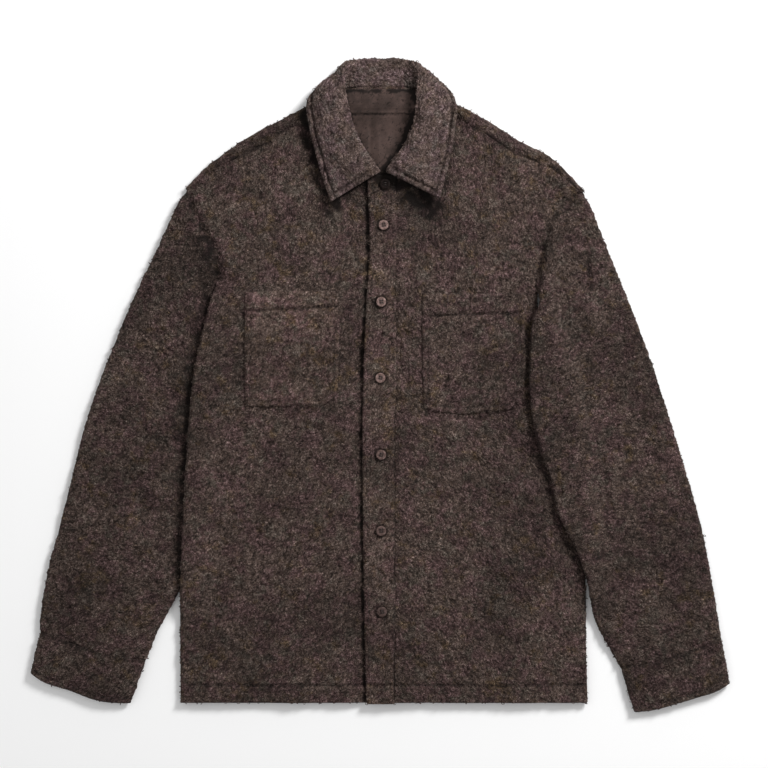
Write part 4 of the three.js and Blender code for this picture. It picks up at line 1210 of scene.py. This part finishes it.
def makePocket(side):
    shape = pockets[side]
    left, right, bottom, top = (curveThrough(shape[key]) for key in ("left", "right", "bottom", "top"))
    rows = np.linspace(0, 1, pocketGrid["rows"])
    u = np.linspace(0, 1, pocketGrid["columns"])[None, :] * np.ones((len(rows), 1))
    points = patch(left, right, bottom, top, u, rows)
    x, y = points[..., 0], points[..., 1]
    edges = [shape["left"], shape["right"], shape["bottom"], shape["top"]]
    inset = np.minimum.reduce([nearRun(x, y, sampleCurve(run, 6)[0])[0] for run in edges])
    overPanel = creaseHeight(x, y, bodyCreases) + swellAt(x, y)
    z = shape["base"] + 0.4 + cloth["wall"] + overPanel
    besideStitch = np.exp(-((inset - pocketGrid["stitch"]) / pocketGrid["stitchWidth"]) ** 2)
    z = z - shape["sunk"] * np.exp(-(inset / 2.4) ** 2) - 1.3 * besideStitch
    z += grooveHeight(x, y, [{"run": shape["hemStitch"], "depth": 2.0, "width": 1.9}])
    z -= 0.7 * softStep(y, 98, 114)  # the mouth lies close to the panel
    # painted shade in the stitched grooves
    free = shadeAndPressAt(x, y, [{"run": shape["hemStitch"], "width": 1.8, "pressAndShade": 0.6, "fade": True}])
    free *= 1 - 0.15 * besideStitch * (y < shape["hemStitch"][0][1])
    lattice, lofts = sheetLattice(
        np.stack([x, y, z], axis=-1), cloth["wall"], 8, pocketGrid["pile"] | {"free": free}
    )
    return shapeGrid(side + "PocketCloth", lattice, lofts, woolPocket[side])


for side, panel in (("right", "frontRightCloth"), ("left", "frontLeftCloth")):
    finishCloth(makePocket(side), "pocket_" + side)


# Collar: a folded strip from the neck seam up to the fold and down to its free edge

collarRows = [  # fold, neck seam, free edge, turn of the fold in degrees, half of the bend
    ((6.4, 269, 19), (28, 269, 15), (72, 235, 22.5), 178, 82),
    ((23, 291, 18.5), (47, 282, 10.4), (79, 259, 21), 178, 84),
    ((37, 317, 20.5), (62, 304, 11.6), (86, 285, 20), 176, 84),
    ((43, 342, 24), (69, 336, 16.6), (92, 322, 21.5), 168, 80),
    ((47, 374, 25), (60, 365, 17.5), (94, 350, 21), 120, 62),
    ((50, 389, 20), (48, 371.4, 11), (87, 368, 9), 80, 56),
    ((45, 403, 12), (40, 373.6, 10.6), (64, 385, 2), 45, 62),
    ((30, 408, 6.6), (30, 375, 9.9), (38, 361, 0.5), 6, 86),
    ((2, 408, 5.6), (2, 374.8, 9.9), (2, 360, 0.5), 0, 88),
    ((-30, 408, 6.6), (-26, 375, 9.9), (-34, 361, 0.5), 6, 86),
    ((-43, 402, 12), (-38, 373.6, 10.6), (-62, 384, 2), 45, 62),
    ((-48, 388, 20), (-47, 371.4, 11), (-84, 369, 9), 80, 56),
    ((-46, 374, 25), (-56, 366, 17.5), (-91, 354, 21), 120, 62),
    ((-38, 342, 24), (-63, 336, 16.6), (-88, 324, 21.5), 168, 80),
    ((-28, 311, 20.5), (-53, 300, 11.6), (-79, 287, 20), 176, 84),
    ((-15, 289, 18.5), (-38, 280, 10.4), (-70, 256, 20), 178, 84),
    ((-0.6, 268, 19), (-22, 268, 12.4), (-61, 231, 20), 178, 82),
]
collar = {
    "perSpan": 17, "columns": 92, "inside": 26, "stitch": 5.2, "roll": 2.8,
    "pile": {"height": 1.15, "shift": 23.0}, "flat": (0.52, 0.10), "area": 0.043,
}


def smoothed(values, passes, axis=0):
    for _ in range(passes):
        inner = values.shape[axis] - 2
        after, before = (np.take(values, range(start, start + inner), axis) for start in (2, 0))
        middle = (after + before) / 2
        kept = np.take(values, range(1, values.shape[axis] - 1), axis)
        ends = [np.take(values, [k], axis) for k in (0, values.shape[axis] - 1)]
        values = np.concatenate([ends[0], (kept + middle) / 2, ends[1]], axis=axis)
    return values


def makeCollar():
    fold, neck, edge = (sampleCurve([row[k] for row in collarRows], collar["perSpan"])[0] for k in range(3))
    at = np.linspace(0, len(collarRows) - 1, len(fold))
    turn, half = (
        np.radians(smoothed(np.interp(at, range(len(collarRows)), [row[k] for row in collarRows]), 40))
        for k in (3, 4)
    )
    travel = unit(np.gradient(fold, axis=0) * [1, 1, 0])
    across = np.stack([travel[:, 1], -travel[:, 0], np.zeros(len(at))], axis=-1)
    up = np.array([0, 0, 1.0])
    radius = cloth["collar"] + 0.6
    out = across * np.cos(turn)[:, None] + up * np.sin(turn)[:, None]
    side = across * np.sin(turn)[:, None] - up * np.cos(turn)[:, None]
    centre = fold - out * radius
    run = [neck]
    for share in np.linspace(-1, 1, 13):
        angle = (share * half)[:, None]
        run.append(centre + out * radius * np.cos(angle) + side * radius * np.sin(angle))
    run.append(edge)
    run = np.stack(run, axis=1)
    # equal steps across each section
    steps = np.linalg.norm(np.diff(run, axis=1), axis=-1)
    reach = np.concatenate([np.zeros((len(run), 1)), np.cumsum(steps, axis=1)], axis=1)
    even = np.linspace(0, 1, collar["columns"])
    section = np.stack([
        np.stack([np.interp(even * reach[k, -1], reach[k], run[k, :, d]) for d in range(3)], axis=-1)
        for k in range(len(run))
    ])
    section = smoothed(section, 10, axis=1)
    total = reach[:, -1:]
    fromEdge = (1 - even)[None, :] * total
    foldAt = reach[:, 7:8]
    onFall = np.clip((even[None, :] * total - foldAt) / (total - foldAt), 0, 1)
    normal = slopeNormals(section, 1)
    ends = np.concatenate([[0], np.cumsum(np.linalg.norm(np.diff((fold + edge) / 2, axis=0), axis=1))])
    fromEnd = np.minimum(ends, ends[-1] - ends)[:, None]
    fallen = np.minimum(fromEdge, np.where(onFall > 0.02, fromEnd, 1e3))
    x, y = section[..., 0], section[..., 1]
    relief = 1.4 * np.sin(np.pi * onFall) * softStep(fromEnd, 0, 30)
    relief = relief + 0.9 * readField(swells, x * 1.7 + 90, y * 1.7) * (onFall > 0) * softStep(fallen, 2, 20)
    relief -= 2.1 * np.exp(-((fallen - collar["stitch"]) / 1.8) ** 2) * softStep(onFall, 0.02, 0.1)
    relief -= 0.6 * np.exp(-(fallen / 2.2) ** 2)
    fromFold = np.maximum(even[None, :] * total - foldAt, 0)
    relief -= collar["roll"] * (1 - softStep(fromFold, 0, 18)) * np.clip(normal[..., 2], 0, 1) * (onFall > 0)
    section = section + normal * relief[..., None]
    # painted shade in the stitched groove along the collar's edges
    free = 1 - 0.62 * np.exp(-((fallen - collar["stitch"]) / 1.7) ** 2) * softStep(onFall, 0.02, 0.1)
    lattice, lofts = sheetLattice(section, cloth["collar"], collar["inside"], collar["pile"] | {"free": free})
    return shapeGrid("collarCloth", lattice, lofts, woolCollarLit)


finishCloth(
    makeCollar(), "collar"
)


# The smooth cloth that shows in the neck opening

linings = {
    "neckFacing": {
        "node": "neck_facing", "left": -43, "right": 45, "bottom": 340.2, "top": 369, "rise": 1.1,
        "flat": (0.09, 0.03), "area": 0.0026, "seam": 343.4,
    },
    "backLining": {
        "node": "back_lining", "left": -43, "right": 45, "bottom": 262, "top": 341, "rise": 0.5,
        "flat": (0.09, 0.085), "area": 0.0072, "seam": 337.2,
    },
}
pleats = [{"run": [(-12, 340), (-13, 300), (-9, 262)], "width": 2.4, "depth": 0.8},
          {"run": [(-4, 340), (-3, 300), (-2, 262)], "width": 3.2, "depth": -0.6},
          {"run": [(16, 336), (20, 300), (14, 270)], "width": 5, "depth": 0.5}]


# Painted shade on the lining: along the seam, under the collar band, and the collar's shadow on each side
liningShade = [
    {"run": [(-50, 338.6), (50, 338.6)], "width": 1.1, "pressAndShade": 1.1},
    {"run": [(-50, 368), (50, 368)], "width": 4, "pressAndShade": 1.2},
    {"run": [(45, 372), (42, 342), (35, 316), (21, 291), (5, 270)], "width": 7.5, "pressAndShade": 1.1},
    {"run": [(-44, 372), (-38, 342), (-28, 311), (-14, 289), (0, 268)], "width": 2, "pressAndShade": 0.6},
]


def makeLining(name):
    shape = linings[name]
    u = np.linspace(shape["left"], shape["right"], 60)[None, :]
    count = max(int((shape["top"] - shape["bottom"]) / 1.5), 12)
    v = np.linspace(shape["bottom"], shape["top"], count)[:, None]
    x, y = u + 0 * v, v + 0 * u
    z = bodyLift(x, y) + cloth["wall"] + shape["rise"] + cloth["lining"]
    z = z - 0.6 * np.exp(-((y - shape["seam"]) / 0.9) ** 2) + 0.12 * readField(swells, x * 3, y * 3)
    if name == "backLining":
        z += creaseHeight(x, y, pleats)
    pile = {"height": 0.0, "shift": 0.0, "free": shadeAndPressAt(x, y, liningShade)}
    lattice, lofts = sheetLattice(np.stack([x, y, z], axis=-1), cloth["lining"], 8, pile, edgePile=0)
    return shapeGrid(name, lattice, lofts, liningTwill)


for name, shape in linings.items():
    finishCloth(makeLining(name), shape["node"])


# Buttons: four holes, a raised pale rim and thread through the holes

buttonShape = {
    "radius": 6.9, "thick": 2.2, "rim": 1.5, "dish": 0.7, "hole": 0.95, "holeAt": 1.95, "base": 11.9,
    "seat": 1.1
}


def toFrame(x, y, z):
    return tuple((a + b) / 1000 for a, b in zip((x, y, z), drawing["shift"]))


def selectFaces(piece, wanted):
    bpy.ops.object.mode_set(mode="OBJECT")
    for face in piece.data.polygons:
        face.select = wanted(face)
    for vertex in piece.data.vertices:
        vertex.select = False
    bpy.ops.object.mode_set(mode="EDIT")
    bpy.ops.mesh.select_mode(type="FACE")


def applyModifier(piece, kind, **settings):
    bpy.context.view_layer.objects.active = piece
    modifier = piece.modifiers.new(kind.lower(), kind)
    for key, value in settings.items():
        setattr(modifier, key, value)
    bpy.ops.object.modifier_apply(modifier=modifier.name)


def applyPlace(piece):
    bpy.ops.object.select_all(action="DESELECT")
    piece.select_set(True)
    bpy.context.view_layer.objects.active = piece
    bpy.ops.object.transform_apply(location=True, rotation=True, scale=True)


def modelButton():
    mm = 0.001
    thick = buttonShape["thick"] * mm
    bpy.ops.object.select_all(action="DESELECT")
    bpy.ops.mesh.primitive_cylinder_add(vertices=48, radius=buttonShape["radius"] * mm, depth=thick)
    made = bpy.context.object
    selectFaces(made, lambda face: face.normal.z > 0.9)
    bpy.ops.mesh.inset(thickness=0.5 * mm, depth=0)
    bpy.ops.mesh.inset(thickness=(buttonShape["rim"] - 0.5) * mm, depth=0)
    bpy.ops.mesh.inset(thickness=0.6 * mm, depth=-buttonShape["dish"] * mm)
    bpy.ops.mesh.inset(thickness=0.9 * mm, depth=-0.08 * mm)
    selectFaces(made, lambda face: face.normal.z < -0.9)
    bpy.ops.mesh.inset(thickness=0.9 * mm, depth=0)
    bpy.ops.mesh.inset(thickness=1.2 * mm, depth=0.25 * mm)
    bpy.ops.object.mode_set(mode="OBJECT")
    for k in range(4):
        angle = math.pi / 4 + k * math.pi / 2
        spot = [buttonShape["holeAt"] * mm * f(angle) for f in (math.cos, math.sin)]
        bpy.ops.mesh.primitive_cylinder_add(
            vertices=14, radius=buttonShape["hole"] * mm, depth=4 * thick, location=(*spot, 0)
        )
        drill = bpy.context.object
        applyPlace(drill)
        applyModifier(made, "BOOLEAN", operation="DIFFERENCE", object=drill, solver="EXACT")
        bpy.data.objects.remove(drill)
    applyModifier(
        made, "BEVEL", width=0.28 * mm, segments=2, limit_method="ANGLE", angle_limit=math.radians(40)
    )
    bpy.ops.object.select_all(action="DESELECT")
    made.select_set(True)
    bpy.ops.object.shade_smooth_by_angle(angle=math.radians(35))
    # the rim attribute: 0 in the holes, 0.4 in the dish and 1 on the rim
    spots = np.empty(len(made.data.vertices) * 3)
    made.data.vertices.foreach_get("co", spots)
    x, y = spots.reshape(-1, 3)[:, :2].T * 1000
    holes = [
        (buttonShape["holeAt"] * math.cos(a), buttonShape["holeAt"] * math.sin(a))
        for a in np.pi / 4 + np.arange(4) * np.pi / 2
    ]
    inHole = np.minimum.reduce([np.hypot(x - hx, y - hy) for hx, hy in holes]) < buttonShape["hole"] + 0.12
    rim = made.data.attributes.new("rim", "FLOAT", "POINT")
    rim.data.foreach_set(
        "value", np.where(inHole, 0.0, 0.4 + 0.6 * softStep(np.hypot(x, y), 4.6, 5.5)).astype(np.float32)
    )
    return made


def modelThread():
    mm = 0.001
    arms = []
    for side in (-1, 1):
        reach = buttonShape["holeAt"] * math.sin(math.pi / 4)
        bpy.ops.object.select_all(action="DESELECT")
        bpy.ops.mesh.primitive_torus_add(
            major_segments=20, minor_segments=8, major_radius=reach * mm, minor_radius=0.42 * mm,
            location=(0, side * reach * mm, -0.35 * mm), rotation=(math.pi / 2, 0, 0),
        )
        arm = bpy.context.object
        applyPlace(arm)
        arms.append(arm)
    for arm in arms:
        arm.select_set(True)
    bpy.context.view_layer.objects.active = arms[0]
    bpy.ops.object.join()
    bpy.ops.object.shade_smooth()
    return arms[0]


def makeResin(name, tone):
    dark, pale = (tuple(c * tone for c in colour) for colour in ((0.064, 0.038, 0.032), (0.182, 0.122, 0.11)))
    material, tree, shader, place = newPaint(name)
    swirl = addNoise(tree, place, 210, 3, 0.6, 1.8)
    speck = addNoise(tree, place, 900, 2)
    shade = addMix(tree, addRange(tree, swirl, 0.35, 0.68), dark, pale)
    rim = tree.nodes.new("ShaderNodeAttribute")
    rim.attribute_name = "rim"
    # painted shade in the holes; the raised rim is paler
    rimAndHoleShade = addMix(tree, addRange(tree, rim.outputs["Fac"], 0.0, 0.4), (0.1, 0.1, 0.1), (1.15, 1.15, 1.15))
    rimAndHoleShade = addMix(tree, addRange(tree, rim.outputs["Fac"], 0.4, 1.0), rimAndHoleShade, (1.7, 1.67, 1.65))
    tree.links.new(addMix(tree, 1.0, shade, rimAndHoleShade, "MULTIPLY"), shader.inputs["Base Color"])
    tree.links.new(addRange(tree, speck, 0.3, 0.7, 0.38, 0.52), shader.inputs["Roughness"])
    # the gloss drops with the tone, so the shaded top button shines less
    shader.inputs["Specular IOR Level"].default_value = 0.06 + 0.26 * tone
    return material


def makeThreadPaint():
    material, tree, shader, place = newPaint("brownThread")
    twist = addNoise(tree, place, 1500, 2, 0.6, 0.8)
    shade = addMix(tree, addRange(tree, twist, 0.3, 0.7), (0.02, 0.013, 0.011), (0.05, 0.035, 0.03))
    tree.links.new(shade, shader.inputs["Base Color"])
    shader.inputs["Roughness"].default_value = 0.6
    return material


# The top button, in the collar's shadow, is painted near black as a painted shadow; the lowest three buttons
# are darker towards the hem. The gloss follows the tone
buttonToneAndShade = (0.06, 0.9, 0.92, 0.95, 0.66, 0.56, 0.38)
buttonLean = {"tip": 0.03, "spin": 0.25}
resins = [makeResin(f"buttonResin{k + 1}", tone) for k, tone in enumerate(buttonToneAndShade)]
threadPaint = makeThreadPaint()
buttonModel = modelButton()
threadModel = modelThread()
for index, (x, y) in enumerate(buttonPlaces):
    spot = toFrame(x, y, buttonShape["base"] + float(neckRise(np.array(float(y)))) + buttonShape["seat"])
    for model, name, paint in (
        (buttonModel, "buttonDisc", resins[index]), (threadModel, "buttonThread", threadPaint)
    ):
        copy = bpy.data.objects.new(f"{name}{index + 1}", model.data.copy())
        bpy.context.collection.objects.link(copy)
        copy.location = spot
        tip, spin = buttonLean["tip"], buttonLean["spin"]
        copy.rotation_euler = (
            tip * math.sin(index * 2.1), tip * math.cos(index * 1.7), spin * math.sin(index * 1.3)
        )
        applyPlace(copy)
        copy.data.materials.clear()
        copy.data.materials.append(paint)
        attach(copy, "root")
        if model is buttonModel:
            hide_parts(f"button_{index + 1}")
bpy.data.objects.remove(buttonModel)
bpy.data.objects.remove(threadModel)
print("buttons ready")


# Loose curls of yarn standing out of the pile

curls = {
    "radius": (1.3, 2.4), "yarn": 0.42, "sink": 0.35, "spacing": 8.2, "seed": 97,
    "fromButtons": 9.5, "leastPile": 0.16, "leastHeight": 0.0022,
}


def copyOver(name, model, places, turns, sizes, material):
    # one model repeated at many places as a single mesh
    count = len(model.data.vertices)
    base = np.empty(count * 3)
    model.data.vertices.foreach_get("co", base)
    base = base.reshape(-1, 3)
    faces = np.array([face.vertices[:] for face in model.data.polygons])
    placed = np.einsum("nij,nkj->nki", turns, base[None] * sizes[:, None, :]) + places[:, None, :]
    linked = faces[None] + (np.arange(len(places)) * count)[:, None, None]
    mesh = bpy.data.meshes.new(name)
    mesh.from_pydata(placed.reshape(-1, 3), [], linked.reshape(-1, faces.shape[1]).tolist())
    mesh.polygons.foreach_set("use_smooth", np.ones(len(mesh.polygons), bool))
    values = np.random.default_rng(len(places)).uniform(0.55, 1.1, len(places))
    pile = mesh.attributes.new("pile", "FLOAT", "POINT")
    pile.data.foreach_set("value", np.repeat(values, count).astype(np.float32))
    piece = bpy.data.objects.new(name, mesh)
    bpy.context.collection.objects.link(piece)
    piece.data.materials.append(material)
    return piece


def modelCurl():
    bpy.ops.object.select_all(action="DESELECT")
    bpy.ops.mesh.primitive_torus_add(
        major_segments=6, minor_segments=3, major_radius=0.001, minor_radius=0.0002
    )
    return bpy.context.object


def growCurls(name, cloths, material, density):
    rng = np.random.default_rng(curls["seed"] + len(name))
    places, turns, sizes = [], [], []
    for piece in cloths:
        mesh = piece.data
        count = len(mesh.vertices)
        spots, normals, pile = np.empty(count * 3), np.empty(count * 3), np.empty(count, np.float32)
        mesh.vertices.foreach_get("co", spots)
        mesh.vertices.foreach_get("normal", normals)
        mesh.attributes["pile"].data.foreach_get("value", pile)
        spots, normals = spots.reshape(-1, 3), normals.reshape(-1, 3)
        area = sum(face.area for face in mesh.polygons) / 2
        drawn = spots[:, :2] * 1000 - drawing["shift"][:2]
        besideButtons = (
            np.minimum.reduce([np.hypot(*(drawn - place).T) for place in buttonPlaces]) > curls["fromButtons"]
        )
        outside = (
            (normals[:, 2] > -0.2) & (pile != np.float32(fleece["inner"]))
            & (spots[:, 2] > curls["leastHeight"])
        )
        able = np.nonzero(outside & (pile > curls["leastPile"]) & besideButtons)[0]
        picked = rng.choice(able, int(area * density / (curls["spacing"] / 1000) ** 2), replace=False)
        normal = normals[picked]
        spin, lean = rng.uniform(0, 2 * np.pi, len(picked)), rng.uniform(0.2, 1.1, len(picked))
        side = unit(np.stack([np.cos(spin), np.sin(spin), 0 * spin], axis=-1))
        axis = unit(side - normal * np.sum(side * normal, axis=-1, keepdims=True))
        axis = unit(axis * np.cos(lean)[:, None] + normal * np.sin(lean)[:, None])
        first = unit(np.cross(axis, normal))
        second = np.cross(axis, first)
        turns.append(np.stack([first, second, axis], axis=-1))
        size = rng.uniform(*curls["radius"], len(picked))
        sizes.append(
            np.stack([size, size * rng.uniform(0.55, 1, len(picked)), size * 0 + curls["yarn"] / 0.2], axis=-1)
        )
        places.append(
            spots[picked] + normal * (size * rng.uniform(-0.2, curls["sink"], len(picked)))[:, None] / 1000
        )
    piece = copyOver(
        name, curlModel, np.concatenate(places), np.concatenate(turns), np.concatenate(sizes), material
    )
    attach(piece, "root")
    print(name, len(piece.data.polygons), "faces")


# Top-stitching: short lengths of thread lying in the stitched grooves
stitches = {"step": 3.6, "half": 1.25, "thick": 0.36, "above": 0.15, "drop": 60}


def modelStitch():
    bpy.ops.object.select_all(action="DESELECT")
    bpy.ops.mesh.primitive_ico_sphere_add(subdivisions=1, radius=0.001)
    return bpy.context.object


def sewRuns(name, piece, runs):
    places, turns = [], []
    for run in runs:
        path, _, length = sampleCurve(run, 12)
        reach = np.concatenate([[0], np.cumsum(np.linalg.norm(np.diff(path, axis=0), axis=1))])
        for at in np.arange(stitches["step"], length - stitches["step"] / 2, stitches["step"]):
            ends = []
            for side in (-stitches["half"], stitches["half"]):
                x, y = (np.interp(at + side, reach, path[:, k]) for k in (0, 1))
                hit, spot, _, _ = piece.ray_cast(toFrame(x, y, stitches["drop"]), (0, 0, -1))
                if hit:
                    ends.append(np.array(spot) + [0, 0, stitches["above"] / 1000])
            if len(ends) < 2 or abs(ends[0][2] - ends[1][2]) > 0.0016:
                continue
            along = unit(ends[1] - ends[0])
            across = unit(np.cross([0, 0, 1.0], along))
            turns.append(np.stack([along, across, np.cross(along, across)], axis=-1))
            places.append((ends[0] + ends[1]) / 2)
    sizes = np.tile([stitches["half"], stitches["thick"], stitches["thick"]], (len(places), 1))
    sewn = copyOver(name, stitchModel, np.array(places), np.array(turns), sizes, threadPaint)
    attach(sewn, "root")
    print(name, len(places), "stitches")


def inwards(points, distance):
    p = np.array(points, float)
    along = unit(np.gradient(p, axis=0))
    return p + distance * np.stack([along[:, 1], -along[:, 0]], axis=-1)


stitchModel = modelStitch()
pieceNamed = bpy.data.objects
for side in ("right", "left"):
    shape = pockets[side]
    aroundPocket = np.array(shape["left"][::-1][1:] + shape["bottom"][1:] + shape["right"][1:-1], float)
    sewRuns(
        side + "PocketStitches", pieceNamed[side + "PocketCloth"],
        [inwards(aroundPocket, -pocketGrid["stitch"]), shape["hemStitch"]]
    )
    sewRuns(side + "CuffStitches", pieceNamed[side + "CuffCloth"], [
        [(x, y + cuff["stitch"]) for x, y in sleeves[side]["hem"]],
    ])
sewRuns(
    "rightHemStitches", frontRightCloth,
    [[(x, y) for x, y in hemStitch["run"] if x < -100] + [(-26, -375.4)]]
)
sewRuns("leftHemStitches", frontLeftCloth, [[(22, -375)] + [(x, y) for x, y in hemStitch["run"] if x > 100]])
sewRuns(
    "placketStitches", placketCloth,
    [[(x + 6, y) for x, y in plan["placketEdge"]], [(16.8, 255), (16.8, 0), (16.8, -390)]]
)
bpy.data.objects.remove(stitchModel)
print("stitches ready")

curlModel = modelCurl()
growCurls("curlsOnRightFront", [frontRightCloth, placketCloth], wool, 0.7)
growCurls("curlsOnLeftFront", [frontLeftCloth], wool, 0.7)
sleeveCloths = [
    pieceNamed[side + kind] for kind in ("SleeveCloth", "CuffCloth") for side in ("right", "left")
]
growCurls("curlsOnSleeves", sleeveCloths, woolSleeveShaded, 0.5)
growCurls("curlsOnCollar", [pieceNamed["collarCloth"]], woolCollarLit, 1.0)
for side in ("right", "left"):
    growCurls(side + "PocketCurls", [pieceNamed[side + "PocketCloth"]], woolPocket[side], 1.0)
growCurls("curlsOnShoulders", [backCloth], wool, 0.12)
bpy.data.objects.remove(curlModel)

total = sum(len(p.vertices) - 2 for o in bpy.context.scene.objects
            if o.type == "MESH" and not o.hide_render and o != floor for p in o.data.polygons)
print("visible triangles", total)
